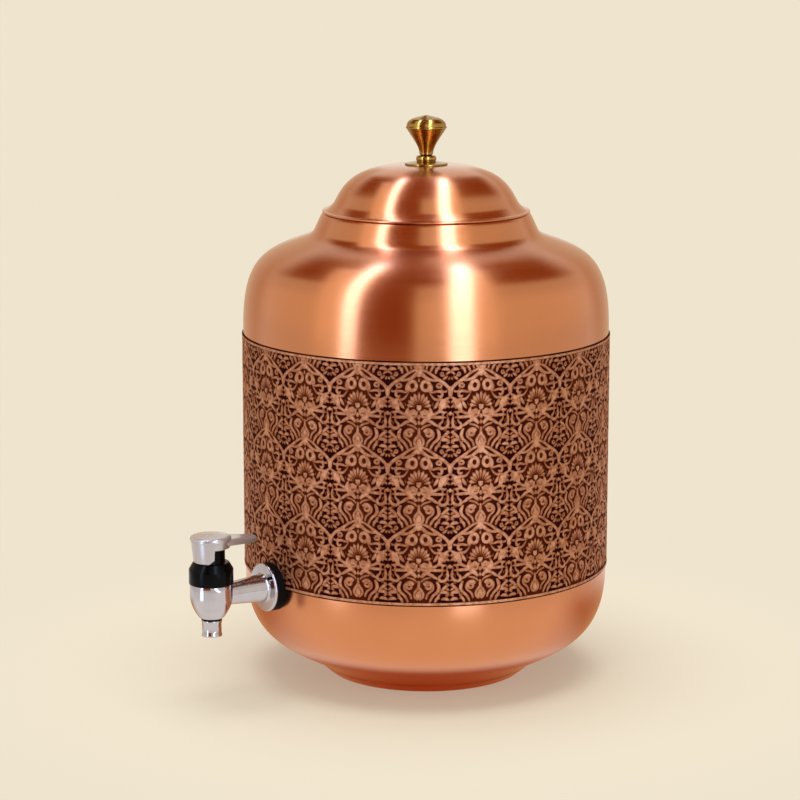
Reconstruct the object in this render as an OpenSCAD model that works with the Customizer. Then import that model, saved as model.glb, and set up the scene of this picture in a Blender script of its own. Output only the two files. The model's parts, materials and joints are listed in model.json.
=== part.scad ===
// Copper water dispenser: a spun copper vessel in two halves with a wrapped decorated band,
// a lift-off lid with a brass knob, and a spring-closed lever tap.
// Millimetres. The origin is on the vessel's axis at the underside of the foot, +Z is up,
// and the tap points along -Y.

/* [Vessel] */
// Outside diameter of the decorated band
band_d = 200; // [180:1:240]
// Height of the decorated band
band_h = 129; // [105:1:160]
// Thickness of the strip that makes the band
band_t = 0.6; // [0.4:0.1:0.9]
// Gap at the band's butt seam, at the back
band_seam = 0.4; // [0.2:0.1:1]
// Thickness of the copper sheet of the shells and the lid
sheet_t = 1.0; // [0.8:0.1:1.4]
// Height of the bowl, from the foot to the band
bowl_h = 53.5; // [44:0.5:66]
// Height of the shoulder, from the band to the foot of the neck
shoulder_h = 52.7; // [44:0.1:64]
// Straight wall that shows above and below the band
wall_show = 2; // [1:0.5:4]
// Fullness of the bowl's side
bowl_side = 40; // [30:1:44]
// Fullness of the bowl's base
bowl_base = 19.8; // [12:0.2:24]
// Slope of the bowl where it meets the foot, in degrees
bowl_angle = 36.7; // [25:0.1:45]
// Fullness of the shoulder's side
shoulder_side = 39.8; // [30:0.2:44]
// Fullness of the shoulder's top
shoulder_top = 23.7; // [12:0.1:28]
// Slope of the shoulder where it meets the neck, in degrees
shoulder_angle = 20.2; // [10:0.1:30]
// Overlap of the two shells under the band
lap_h = 10; // [6:0.5:16]
// Height of the step that lets one shell into the other
joggle_h = 2.5; // [2:0.5:4]

/* [Neck] */
// Outside diameter of the neck at its rim
neck_d = 112.2; // [94:0.1:118]
// Outside diameter of the neck at its foot
neck_base_d = 123; // [119:0.5:146]
// Height of the neck
neck_h = 11.8; // [9:0.1:15]
// Reach of the blend between shoulder and neck
neck_blend = 3; // [1:0.1:4]
// Width of the rim that is turned in to carry the lid
rim_w = 1.8; // [1.4:0.1:3]

/* [Foot] */
// Height of the foot
foot_h = 6; // [4:0.5:9]
// Outside diameter of the foot where it stands
foot_d = 108; // [88:0.5:114]
// Outside diameter of the foot where it meets the bowl
foot_top_d = 122; // [116:0.5:140]
// Width of the flat ring that it stands on
foot_flat = 6; // [4:0.5:9]
// Thickness of the foot's sheet
foot_t = 1.2; // [0.8:0.1:1.6]
// Depth of the flat base of the bowl below the foot's top edge
base_drop = 1.6; // [1:0.1:2.4]

/* [Lid] */
// Height of the lid above its brim
lid_h = 24.4; // [18:0.2:32]
// Diameter of the dome where it rises from the brim
lid_waist_d = 101.2; // [84:0.2:104]
// Height of the curve from the brim to the dome
brim_rise = 3; // [2:0.1:4]
// Reach of the blend from the brim to the dome
brim_blend = 1.5; // [0.8:0.1:2]
// Slope of the dome where it starts, in degrees
dome_angle = 47.3; // [38:0.1:60]
// Fullness of the dome's side
dome_side = 5.7; // [3:0.1:10]
// Fullness of the dome's top
dome_top = 33.4; // [20:0.2:38]
// Depth of the skirt that drops into the neck
skirt_h = 10; // [6:0.5:16]
// Thickness of the skirt
skirt_t = 0.8; // [0.6:0.1:1.2]
// Radial play of the skirt in the rim
lid_play = 0.7; // [0.4:0.1:1.2]

/* [Knob] */
// Diameter of the knob
knob_d = 22.6; // [16:0.2:30]
// Diameter of the knob's neck
knob_neck_d = 7.4; // [7:0.1:11]
// Height of the knob from its foot to its widest place
knob_stem_h = 15; // [10:0.2:20]
// Height of the crown above the widest place
crown_h = 6.6; // [4:0.2:9]
// Fullness of the knob's neck
knob_waist = 4.3; // [3:0.1:6]
// Fullness of the knob under its edge
knob_cup = 4.4; // [3:0.1:6]
// Slope of the knob under its edge, in degrees
knob_cup_angle = 60; // [50:1:70]
// Fullness of the crown's side
crown_side = 2.3; // [1:0.1:3]
// Fullness of the crown's top
crown_top = 9.4; // [5:0.1:11]
// Slope of the crown at its point, in degrees
crown_angle = 9.8; // [0:0.2:20]
// Depth of the groove between the knob and its rosette
knob_groove = 0.7; // [0.2:0.1:0.8]
// Diameter of the rosette under the knob
rosette_d = 23; // [19:0.5:28]
// Height of the rosette
rosette_h = 5; // [4.6:0.1:9]
// Thickness of the rosette at its edge
rosette_edge = 0.8; // [0.5:0.1:1.2]
// Fullness of the rosette's flare at its edge
rosette_low = 3.2; // [2:0.1:4]
// Slope of the rosette's flare, in degrees
rosette_angle = 12; // [5:1:20]
// Fullness of the rosette's flare at its bead
rosette_high = 2; // [1.5:0.1:3]
// Width of the rosette's bead beyond the knob's neck
bead_w = 1.3; // [0.8:0.1:2]
// Height of the rosette's bead
bead_h = 3; // [2:0.1:3.4]
// Fullness of the rosette's bead
bead_round = 1.6; // [0.8:0.1:2]
// Diameter of the knob's screw
screw_d = 4; // [3:0.5:5]
// Length of the screw's thread in the knob
screw_bite = 9; // [6:0.5:12]
// Diameter of the washer under the lid
knob_washer_d = 10; // [9:0.5:14]
// Thickness of the washer under the lid
knob_washer_t = 0.8; // [0.5:0.1:1.2]

/* [Tap] */
// Distance from the band to the tap's upright axis
tap_reach = 37; // [34:0.5:48]
// Height of the arm's axis above the band's lower edge
tap_rise = -0.2; // [-2:0.1:6]
// Diameter of the barrel
barrel_d = 22.6; // [21.6:0.2:27.2]
// Height of the barrel above the arm's axis
barrel_up = 7.3; // [7:0.1:9]
// Depth of the barrel below the arm's axis
barrel_down = 11.2; // [11:0.1:14]
// Height of the barrel's straight side
barrel_side = 6.3; // [5:0.1:9]
// Fullness of the barrel under its straight side
barrel_belly = 5; // [3:0.1:6]
// Fullness of the barrel at its lower end
barrel_round = 3.6; // [2:0.1:5]
// Slope of the barrel at its lower end, in degrees
barrel_angle = 52; // [45:1:65]
// Diameter of the barrel at its lower end
barrel_end_d = 12.8; // [12.4:0.2:15]
// Diameter of the chamber in the barrel
chamber_d = 15.2; // [13.4:0.1:15.4]
// Depth of the valve seat below the arm's axis
seat_down = 5.5; // [5:0.1:6]
// Diameter of the outlet, from the valve seat to the nozzle's mouth
outlet_d = 7.6; // [6:0.1:8]
// Diameter of the water way in the arm
inlet_d = 7.2; // [5:0.1:7.6]
// Outside diameter of the nozzle
nozzle_d = 10.8; // [10.4:0.1:12]
// Length of the nozzle that shows
nozzle_h = 8.7; // [7:0.1:14]
// Height of the lip at each end of the nozzle
nozzle_lip = 1; // [0.6:0.1:1.5]
// Depth of the nozzle's waist between its lips
nozzle_waist = 0.3; // [0.1:0.1:0.5]
// Wall of the spigot that holds the nozzle in the barrel
spigot_t = 1.1; // [0.9:0.1:1.3]
// Length of the spigot
spigot_h = 4.2; // [3:0.1:4.8]
// Thickness of the seal between nozzle and barrel
spout_seal_t = 1.3; // [0.6:0.1:1.5]
// Diameter of the arm at the flange
arm_d = 15; // [12:0.2:17]
// Diameter of the arm at the barrel
arm_end_d = 10.2; // [9.6:0.2:11.6]
// Diameter of the flange
flange_d = 26; // [22:0.5:30]
// Thickness of the flange
flange_t = 1.8; // [1.2:0.1:2.6]
// Diameter of the threaded shank
shank_d = 14; // [11.6:0.1:17]
// Play of the shank in its hole
shank_play = 0.25; // [0.1:0.05:0.5]
// Thickness of the rubber washers
washer_t = 3.7; // [2.5:0.1:5]
// Width of the nut across its flats
nut_w = 22; // [20:0.5:27]
// Thickness of the nut
nut_t = 6.5; // [5:0.5:9]
// Thread that stands out of the nut
shank_spare = 4; // [2:0.5:8]

/* [Bonnet] */
// How far the bonnet's collar stands proud of the barrel
collar_proud = 0.4; // [0.2:0.1:1]
// Height of the collar
collar_h = 7.8; // [7.6:0.1:12]
// Height of the bevel above the collar
bevel_h = 3.7; // [2:0.1:4]
// Width of the ledge between the collar's edge and the tower, across the bevel
ledge_w = 4.3; // [3.6:0.1:5]
// Width of the bevel
bevel_w = 2.2; // [1.5:0.1:3]
// Height of the tower
tower_h = 6.4; // [5:0.1:8]
// Length of the barrel's threaded neck in the bonnet
thread_h = 6.6; // [5:0.1:7]
// Depth of the barrel's thread shoulder
thread_step = 1.4; // [1:0.1:1.6]
// Thickness of the gasket
gasket_t = 0.6; // [0.4:0.1:1]

/* [Valve] */
// Diameter of the valve stem
stem_d = 5.8; // [5:0.1:6]
// Diameter of the plug
plug_d = 11.2; // [9.6:0.1:12]
// Thickness of the plug
plug_h = 3.4; // [3:0.1:3.8]
// Diameter of the stem's foot in the plug
stem_foot_d = 4; // [3:0.1:4.6]
// Diameter of the stem's collar under the spring
spring_seat_d = 12; // [11.4:0.1:13]
// Thickness of the stem's collar
spring_seat_t = 1.4; // [1:0.1:1.8]
// Height of the stem's collar above the plug
spring_seat_up = 6.2; // [5.6:0.1:6.4]
// Wire of the return spring
wire_d = 0.8; // [0.6:0.05:0.9]
// Mean diameter of the return spring
coil_d = 10; // [8.4:0.1:10.4]
// Number of turns of the return spring
turns = 5; // [4:0.5:6]
// Thickness of the ring that seals the stem
oring_w = 1.4; // [1.2:0.1:1.6]

/* [Lever] */
// Length of the lever's tab from the tap's axis to its tip
lever_l = 28; // [22:0.5:31]
// Radius of the tab's tip
tip_r = 4.5; // [3:0.1:6]
// Thickness of the tab and of the cap's edge
lever_t = 3.6; // [3.3:0.1:4]
// Slope of the tab, down towards its tip, in degrees
tab_angle = 5; // [3:1:7]
// Depth of the tab's upper face below the top of the cap, at the tap's axis
tab_drop = 1.8; // [1.2:0.1:2]
// Radius of the cap's crown
lever_crown_r = 50; // [40:5:160]
// Thickness of the cap over the hinge
cap_t = 3.1; // [1.4:0.1:3.2]
// Wall of the cap's skirt
cap_wall = 1.5; // [0.9:0.1:1.8]
// How much the skirt flares from its lower edge to the cap
cap_flare = 1.2; // [0.6:0.1:1.6]
// How far the cap's edge stands out over the skirt
cap_lip = 0.4; // [0.3:0.1:1.2]
// Travel of the lever, in degrees
lever_travel = 25; // [15:1:25]
// Lift of the stem for one radian of the lever
cam_r = 5.5; // [4:0.1:5.6]
// Height of the hinge above the tower
hinge_up = 3; // [2.8:0.1:3.6]
// Diameter of the hinge pin
pin_d = 2; // [1.6:0.1:2.2]
// Radius of the stem's eye
eye_r = 2.1; // [1.8:0.1:2.2]
// Thickness of each cheek that holds the pin
cheek_t = 1.6; // [1.2:0.1:2]
// Room between the stem and each cheek
cheek_play = 0.2; // [0.15:0.05:0.4]
// Distance of the notch from the tap's axis
notch_edge = 3.1; // [3:0.1:6]
// Height of the notch above the skirt's lower edge
notch_h = 7.7; // [7.5:0.1:8.2]
// Slope at the notch's lower corner, across and up
notch_slope = 2.5; // [1:0.1:4]

/* [Hidden] */
$fn = 200;

// Clearances: brazed and screwed fits, sliding fits, a press fit, and parts that pass each other
fit_gap = 0.1;
slide_gap = 0.05;
press_gap = 0.02;
pass_gap = 0.3;
// How far a cut runs past the face that it opens
past = 1;
// Points along one curve of a profile
steps = 14;

// Finishes
copper = [0.79, 0.50, 0.33];
antique = [0.45, 0.28, 0.20];
brass = [0.74, 0.59, 0.28];
chrome = [0.78, 0.78, 0.80];
black = [0.10, 0.10, 0.11];
rubber = [0.16, 0.16, 0.16];
silicone = [0.86, 0.86, 0.84];
steel = [0.62, 0.63, 0.65];

// Heights and radii of the vessel
band_r = band_d / 2;
shell_r = band_r - band_t - fit_gap;
band_z = foot_h + bowl_h;
band_top = band_z + band_h;
seam_z = band_z + band_h / 2;
lap_r = shell_r - sheet_t - fit_gap;
neck_z = band_top + shoulder_h;
rim_z = neck_z + neck_h;
neck_r = neck_d / 2;
neck_base_r = neck_base_d / 2;
mouth_r = neck_r - rim_w;
foot_top_r = foot_top_d / 2;
base_z = foot_h - base_drop;

// Heights and radii of the lid and the knob
brim_z = rim_z + sheet_t;
lid_z = brim_z + lid_h;
waist_r = lid_waist_d / 2;
skirt_r = mouth_r - lid_play;
rosette_r = rosette_d / 2;
knob_z = lid_z + rosette_h;
knob_r = knob_d / 2;
knob_neck_r = knob_neck_d / 2;
screw_r = screw_d / 2;
washer_z = lid_z - sheet_t - knob_washer_t;

// Places along the tap's arm, measured outward from the vessel's axis
tap_z = band_z + tap_rise;
tap_axis = band_r + tap_reach;
flange_in = band_r + washer_t;
arm_start = flange_in + flange_t;
shank_r = shank_d / 2;
nut_out = lap_r - washer_t;
nut_in = nut_out - nut_t;
shank_in = nut_in - shank_spare;

// Heights and radii of the barrel and the bonnet
barrel_r = barrel_d / 2;
barrel_top = tap_z + barrel_up;
barrel_low = tap_z - barrel_down;
barrel_end_r = barrel_end_d / 2;
chamber_r = chamber_d / 2;
seat_z = tap_z - seat_down;
outlet_r = outlet_d / 2;
spigot_r = outlet_r + spigot_t;
nozzle_top = barrel_low - spout_seal_t;
nozzle_low = nozzle_top - nozzle_h;
nozzle_r = nozzle_d / 2;
thread_r = barrel_r - thread_step;
thread_top = barrel_top + thread_h;
ceiling_z = thread_top + gasket_t;
collar_r = barrel_r + collar_proud;
collar_top = barrel_top + collar_h;
ledge_z = collar_top + bevel_h;
tower_r = collar_r - ledge_w;
tower_z = ledge_z + tower_h;

// Heights and radii of the valve and the lever
stem_r = stem_d / 2;
plug_top = seat_z + plug_h;
stem_foot_r = stem_foot_d / 2;
stem_foot_h = plug_h / 2;
spring_seat_z = plug_top + spring_seat_up;
spring_low = spring_seat_z + spring_seat_t;
oring_z = (ceiling_z + tower_z) / 2 - oring_w;
hinge_z = tower_z + hinge_up;
pin_r = pin_d / 2;
eye_w = 2 * stem_r - cheek_play;
cheek_in = stem_r + cheek_play;
cheek_out = cheek_in + cheek_t;
cavity_z = hinge_z + eye_r + pass_gap;
cap_z = cavity_z + cap_t;
skirt_in_r = tower_r + pass_gap;
skirt_out_r = skirt_in_r + cap_wall;
skirt_low = ledge_z + pass_gap;
cap_r = skirt_out_r + cap_flare + cap_lip;
notch_top = skirt_low + notch_h;

// Points of a curve with four control points
function curve(a, b, c, d) = [
    for (i = [0 : steps]) let (t = i / steps, s = 1 - t)
        s * s * s * a + 3 * s * s * t * b + 3 * s * t * t * c + t * t * t * d
];
// Points that round off the corner between a and b
function blend(a, corner, b) = [
    for (i = [0 : steps / 2]) let (t = 2 * i / steps, s = 1 - t)
        s * s * a + 2 * s * t * corner + t * t * b
];
function reversed(list) = [for (i = [len(list) - 1 : -1 : 0]) list[i]];
// The direction to the left of the way from a to b
function left_of(a, b) = let (d = (b - a) / norm(b - a)) [-d[1], d[0]];
// A path moved sideways to its left, with its corners kept sharp
function moved_left(path, t) = let (last = len(path) - 1) [
    for (i = [0 : last]) let (
        before = left_of(path[max(i - 1, 0)], path[max(i, 1)]),
        after = left_of(path[min(i, last - 1)], path[min(i + 1, last)])
    ) path[i] + t * (before + after) / (1 + before * after)
];
// The outline of a sheet whose outer side follows the path
function sheet(path, t) = concat(path, reversed(moved_left(path, t)));
// A path without repeated points
function tidy(path) = [
    for (i = [0 : len(path) - 1]) if (i == 0 || norm(path[i] - path[max(i - 1, 0)]) > 0.001) path[i]
];
// A step of a given length in a direction
function slope(angle, length) = length * [cos(angle), sin(angle)];

// The outside of the lower shell, from the middle of its base up to its inner lip
bowl_foot = [foot_top_r, foot_h];
bowl_start = [shell_r, band_z - wall_show];
lower_path = concat(
    [[0, base_z], [foot_top_r - base_drop / tan(bowl_angle), base_z]],
    curve(bowl_foot, bowl_foot + slope(bowl_angle, bowl_base), bowl_start - [0, bowl_side], bowl_start),
    [[shell_r, seam_z - joggle_h], [lap_r, seam_z], [lap_r, seam_z + lap_h]]
);

// The outside of the upper shell, from its lower edge up to the rim that is turned in
neck_corner = [neck_base_r, neck_z];
neck_rim = [neck_r, rim_z];
neck_way = (neck_rim - neck_corner) / norm(neck_rim - neck_corner);
shoulder_start = [shell_r, band_top + wall_show];
shoulder_end = neck_corner + slope(-shoulder_angle, neck_blend);
upper_path = concat(
    [[shell_r, seam_z]],
    curve(
        shoulder_start, shoulder_start + [0, shoulder_side],
        shoulder_end + slope(-shoulder_angle, shoulder_top), shoulder_end
    ),
    blend(shoulder_end, neck_corner, neck_corner + neck_blend * neck_way),
    [neck_rim, [mouth_r, rim_z]]
);

// The outside of the lid, from the edge of its brim up to the middle of its flat top
dome_start = [waist_r, brim_z + brim_rise];
brim_corner = [waist_r + brim_rise / tan(dome_angle), brim_z];
dome_end = [rosette_r, lid_z];
lid_path = concat(
    [[neck_r, brim_z]],
    blend(brim_corner + [brim_blend, 0], brim_corner, dome_start),
    curve(
        dome_start, dome_start + slope(180 - dome_angle, dome_side),
        dome_end + [dome_top, 0], dome_end
    ),
    [[0, lid_z]]
);

// Moves its children from upright to lying along the tap's arm, with their foot on the vessel's axis
module along_arm() {
    translate([0, 0, tap_z]) rotate([90, 0, 0]) children();
}
// Moves its children to the tap's upright axis
module at_tap() {
    translate([0, -tap_axis, 0]) children();
}
// A tube that stands on a height
module tube(low, top, outer, inner) {
    translate([0, 0, low]) difference() {
        cylinder(h = top - low, r = outer);
        translate([0, 0, -past]) cylinder(h = top - low + 2 * past, r = inner);
    }
}
// A rod that stands on a height
module rod(low, top, r) {
    translate([0, 0, low]) cylinder(h = top - low, r = r);
}
// The hole for the tap's shank
module shank_hole() {
    along_arm() rod(nut_in, flange_in, shank_r + shank_play);
}
// Everything inside the lower shell's outer side, grown by a gap
module inside_lower(gap) {
    path = tidy(lower_path);
    rotate_extrude() polygon(concat(moved_left(path, -gap), [[0, seam_z + lap_h]]));
}

module lower_shell() color(copper) difference() {
    rotate_extrude() polygon(sheet(tidy(lower_path), sheet_t));
    shank_hole();
}

module upper_shell() color(copper) rotate_extrude() polygon(sheet(tidy(upper_path), sheet_t));

module decorated_band() color(antique) difference() {
    tube(band_z, band_top, band_r, band_r - band_t);
    shank_hole();
    translate([-band_seam / 2, 0, band_z - past]) cube([band_seam, band_d, band_h + 2 * past]);
}

module foot_ring() color(copper) difference() {
    foot_r = foot_d / 2;
    top = [foot_top_r, foot_h];
    path = [[foot_r - foot_flat, 0], [foot_r, 0], top];
    rotate_extrude() polygon(sheet(path, foot_t));
    inside_lower(fit_gap);
}

module lid_dome() color(copper) difference() {
    rotate_extrude() polygon(sheet(tidy(lid_path), sheet_t));
    rod(lid_z - sheet_t - past, lid_z + past, screw_r + fit_gap);
}

module lid_skirt() color(copper) difference() {
    tube(rim_z - skirt_h, brim_z, skirt_r, skirt_r - skirt_t);
    rotate_extrude() polygon(sheet(tidy(lid_path), sheet_t));
}

module knob_rosette() color(brass) {
    hole_r = screw_r + fit_gap;
    edge = [rosette_r, lid_z + rosette_edge];
    root = [knob_neck_r + bead_w, knob_z - bead_h];
    top = [knob_neck_r, knob_z];
    flare = curve(
        edge, edge + slope(180 - rosette_angle, rosette_low),
        root + slope(-rosette_angle, rosette_high), root
    );
    bead = curve(root, root + slope(45, bead_round), top + [bead_round, 0], top);
    rotate_extrude() polygon(concat(
        [[hole_r, lid_z], [rosette_r, lid_z]], tidy(concat(flare, bead)), [[hole_r, knob_z]]
    ));
}

module knob() color(brass) difference() {
    widest = knob_z + knob_stem_h;
    neck = [knob_neck_r, knob_z + knob_groove];
    under = [knob_r - knob_groove, widest - knob_groove];
    over = [knob_r - knob_groove, widest + knob_groove];
    point = [0, widest + crown_h];
    stem = curve(neck, neck + [0, knob_waist], under - slope(knob_cup_angle, knob_cup), under);
    crown = curve(over, over + [0, crown_side], point + slope(-crown_angle, crown_top), point);
    rotate_extrude() polygon(concat(
        [[0, knob_z], [knob_neck_r - knob_groove, knob_z]], stem, [[knob_r, widest]], crown
    ));
    rod(knob_z - past, knob_z + screw_bite + past, screw_r + press_gap);
}

module knob_washer() color(steel)
    tube(washer_z, washer_z + knob_washer_t, knob_washer_d / 2, screw_r + fit_gap);

// A slotted pan head in the usual proportions
module knob_screw() color(steel) difference() {
    head_h = screw_r * 1.2;
    head_r = screw_r * 1.9;
    slot_w = screw_r * 0.5;
    union() {
        rod(washer_z - head_h, washer_z, head_r);
        rod(washer_z - head_h / 2, knob_z + screw_bite, screw_r);
    }
    translate([-head_r, -slot_w / 2, washer_z - head_h - past]) cube([2 * head_r, slot_w, head_h / 2 + past]);
}

module tap_body() color(chrome) difference() {
    low = [barrel_end_r, barrel_low];
    side = [barrel_r, barrel_top - barrel_side];
    barrel = concat(
        [[0, barrel_low]],
        curve(low, low + slope(barrel_angle, barrel_round), side - [0, barrel_belly], side),
        [[barrel_r, barrel_top], [thread_r, barrel_top], [thread_r, thread_top], [0, thread_top]]
    );
    union() {
        at_tap() rotate_extrude() polygon(barrel);
        along_arm() {
            translate([0, 0, arm_start - past])
                cylinder(h = tap_axis - arm_start + past, r1 = arm_d / 2, r2 = arm_end_d / 2);
            rod(flange_in, arm_start, flange_d / 2);
            rod(shank_in, arm_start, shank_r);
        }
    }
    at_tap() {
        rod(seat_z, thread_top + past, chamber_r);
        rod(barrel_low - past, seat_z + past, outlet_r);
        rod(barrel_low - past, barrel_low + spigot_h + fit_gap, spigot_r + fit_gap);
    }
    along_arm() rod(shank_in - past, tap_axis, inlet_d / 2);
}

module outer_washer() color(rubber) difference() {
    along_arm() tube(lap_r, flange_in, flange_d / 2 - fit_gap, shank_r + fit_gap);
    inside_lower(fit_gap);
    rod(band_z, band_top, band_r + fit_gap);
}

module inner_washer() color(rubber) intersection() {
    along_arm() tube(nut_out, shell_r, nut_w / 2 + past, shank_r + fit_gap);
    path = tidy(lower_path);
    rotate_extrude() polygon(concat(moved_left(path, sheet_t + fit_gap), [[0, seam_z + lap_h]]));
}

module shank_nut() color(chrome) along_arm() translate([0, 0, nut_in]) difference() {
    rotate(30) cylinder(h = nut_t, r = nut_w / 2 / cos(30), $fn = 6);
    translate([0, 0, -past]) cylinder(h = nut_t + 2 * past, r = shank_r + press_gap);
}

module spout_nozzle() color(chrome) at_tap() difference() {
    waist_r = nozzle_r - nozzle_waist;
    rotate_extrude() polygon([
        [0, nozzle_low], [nozzle_r, nozzle_low], [nozzle_r, nozzle_low + nozzle_lip],
        [waist_r, nozzle_low + 2 * nozzle_lip], [waist_r, nozzle_top - 2 * nozzle_lip],
        [nozzle_r, nozzle_top - nozzle_lip], [nozzle_r, nozzle_top], [spigot_r, nozzle_top],
        [spigot_r, barrel_low + spigot_h], [0, barrel_low + spigot_h]
    ]);
    rod(nozzle_low - past, seat_z, outlet_r);
}

module spout_seal() color(black)
    at_tap() tube(nozzle_top, barrel_low, nozzle_r + fit_gap, spigot_r + fit_gap);

module bonnet() color(black) at_tap() rotate_extrude() {
    bore_r = thread_r + fit_gap;
    hole_r = stem_r + slide_gap;
    polygon([
        [bore_r, barrel_top], [collar_r, barrel_top], [collar_r, collar_top],
        [collar_r - bevel_w, ledge_z], [tower_r, ledge_z], [tower_r, tower_z], [hole_r, tower_z],
        [hole_r, ceiling_z], [bore_r, ceiling_z]
    ]);
}

module bonnet_gasket() color(rubber)
    at_tap() tube(thread_top, ceiling_z, thread_r - fit_gap, chamber_r + fit_gap);

module valve_stem() color(black) at_tap() difference() {
    groove_r = stem_r - oring_w;
    union() {
        rotate_extrude() polygon([
            [0, plug_top - stem_foot_h], [stem_foot_r, plug_top - stem_foot_h], [stem_foot_r, plug_top],
            [stem_r, plug_top], [stem_r, spring_seat_z], [spring_seat_d / 2, spring_seat_z],
            [spring_seat_d / 2, spring_low], [stem_r, spring_low], [stem_r, oring_z],
            [groove_r, oring_z], [groove_r, oring_z + oring_w + slide_gap],
            [stem_r, oring_z + oring_w + slide_gap], [stem_r, hinge_z - eye_r], [0, hinge_z - eye_r]
        ]);
        translate([-eye_w / 2, -eye_r, tower_z + fit_gap]) cube([eye_w, 2 * eye_r, hinge_up - fit_gap]);
        translate([-eye_w / 2, 0, hinge_z]) rotate([0, 90, 0]) cylinder(h = eye_w, r = eye_r);
    }
    translate([-eye_w, 0, hinge_z]) rotate([0, 90, 0]) cylinder(h = 2 * eye_w, r = pin_r + slide_gap);
}

module stem_oring() color(rubber) at_tap() translate([0, 0, oring_z + oring_w / 2])
    rotate_extrude() translate([stem_r - oring_w / 2, 0]) circle(d = oring_w);

module seat_plug() color(silicone) at_tap() difference() {
    rod(seat_z, plug_top, plug_d / 2);
    rod(plug_top - stem_foot_h, plug_top + past, stem_foot_r + slide_gap);
}

// The return spring is one wire: rings of corners set square to a helix
ring_sides = 6;
turn_rings = 12;
rings = turns * turn_rings;
spring_rise = ceiling_z - spring_low - wire_d;
spring_line = [
    for (i = [0 : rings]) let (a = 360 * i / turn_rings)
        [coil_d / 2 * cos(a), coil_d / 2 * sin(a), spring_low + wire_d / 2 + spring_rise * i / rings]
];
function ring_at(i) = let (
    a = 360 * i / turn_rings,
    out = [cos(a), sin(a), 0],
    climb = atan2(spring_rise / turns, PI * coil_d),
    up = [sin(climb) * sin(a), -sin(climb) * cos(a), cos(climb)]
) [
    for (k = [0 : ring_sides - 1]) let (b = 360 * k / ring_sides)
        spring_line[i] + wire_d / 2 * (cos(b) * out + sin(b) * up)
];
turn_gap = min([
    for (i = [0 : rings - turn_rings / 2], j = [i + turn_rings / 2 : rings])
        norm(spring_line[i] - spring_line[j])
]) - wire_d;
echo(str("return_spring: least gap between turns ", turn_gap, " mm"));

module return_spring() color(steel) at_tap() polyhedron(
    points = [for (i = [0 : rings]) each ring_at(i)],
    faces = concat(
        [for (i = [0 : rings - 1], k = [0 : ring_sides - 1], half = [0, 1]) let (
            a = i * ring_sides + k,
            b = i * ring_sides + (k + 1) % ring_sides
        ) half == 0 ? [a, b, b + ring_sides] : [a, b + ring_sides, a + ring_sides]],
        [for (k = [1 : ring_sides - 2]) [0, k + 1, k]],
        [for (k = [1 : ring_sides - 2]) [for (corner = [0, k, k + 1]) rings * ring_sides + corner]]
    )
);

// The outline of the tab from above: its root under the cap, two lines and the round tip
function tab_outline() = let (
    root_r = skirt_out_r + cap_flare / 2,
    tip_y = lever_l - tip_r,
    lean = asin((root_r - tip_r) / tip_y)
) concat(
    [[-root_r, 0], [root_r, 0], slope(lean, root_r)],
    [for (i = [0 : steps]) [0, tip_y] + slope(lean + i * (180 - 2 * lean) / steps, tip_r)],
    [slope(180 - lean, root_r)]
);

// Side of a cheek, with the hinge at the origin and the lever towards +X. Its heel is the curve
// that lifts the hinge by cam_r for each radian as the lever goes down on the flat tower.
function cheek_side() = let (
    low = hinge_up - slide_gap,
    heel = [for (i = [0 : steps]) let (a = lever_travel * i / steps, p = low + cam_r * a * PI / 180)
        [cam_r * cos(a) + p * sin(a), cam_r * sin(a) - p * cos(a)]],
    back = -cam_r,
    top = eye_r + pass_gap + cap_t / 2
) concat([[back, -low]], heel, [[heel[steps][0], top], [back, top]]);

module lever_handle() color(chrome) at_tap() difference() {
    union() {
        difference() {
            union() {
                intersection() {
                    rod(cap_z - lever_t, cap_z + past, cap_r);
                    translate([0, 0, cap_z - lever_crown_r]) sphere(lever_crown_r);
                }
                translate([0, 0, cap_z - tab_drop]) rotate([-tab_angle, 0, 0])
                    translate([0, 0, -lever_t]) linear_extrude(lever_t) polygon(tab_outline());
                rotate_extrude() polygon([
                    [0, skirt_low], [skirt_out_r, skirt_low],
                    [skirt_out_r + cap_flare, cap_z - lever_t], [0, cap_z - lever_t]
                ]);
            }
            rotate_extrude() polygon([
                [0, skirt_low - past], [skirt_in_r, skirt_low - past], [skirt_in_r, skirt_low],
                [skirt_in_r + cap_flare, cap_z - lever_t], [skirt_in_r + cap_flare, cavity_z], [0, cavity_z]
            ]);
            notch();
        }
        for (side = [-1, 1]) translate([(side < 0 ? -cheek_out : cheek_in), 0, hinge_z])
            rotate([90, 0, 90]) linear_extrude(cheek_t) polygon(cheek_side());
    }
    translate([-2 * cheek_out, 0, hinge_z]) rotate([0, 90, 0])
        cylinder(h = 3 * cheek_out, r = pin_r + press_gap);
}

// The opening in the skirt that lets the lever go down, seen from the side
module notch() {
    edge = -notch_edge;
    translate([-cap_r, 0, 0]) rotate([90, 0, 90]) linear_extrude(2 * cap_r) polygon([
        [edge - notch_slope, skirt_low - past], [edge - notch_slope, skirt_low],
        [edge, skirt_low + notch_slope], [edge, notch_top], [cap_r, notch_top], [cap_r, skirt_low - past]
    ]);
}

module lever_pin() color(steel) at_tap() translate([-cheek_out, 0, hinge_z]) rotate([0, 90, 0])
    cylinder(h = 2 * cheek_out, r = pin_r);

lower_shell();
upper_shell();
decorated_band();
foot_ring();
lid_dome();
lid_skirt();
knob();
knob_rosette();
knob_washer();
knob_screw();
tap_body();
outer_washer();
inner_washer();
shank_nut();
spout_nozzle();
spout_seal();
bonnet();
bonnet_gasket();
valve_stem();
stem_oring();
seat_plug();
return_spring();
lever_handle();
lever_pin();
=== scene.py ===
import json
from math import cos, pi, radians, sin, tanh

import bmesh
import bpy
from mathutils import Matrix, Vector


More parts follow.
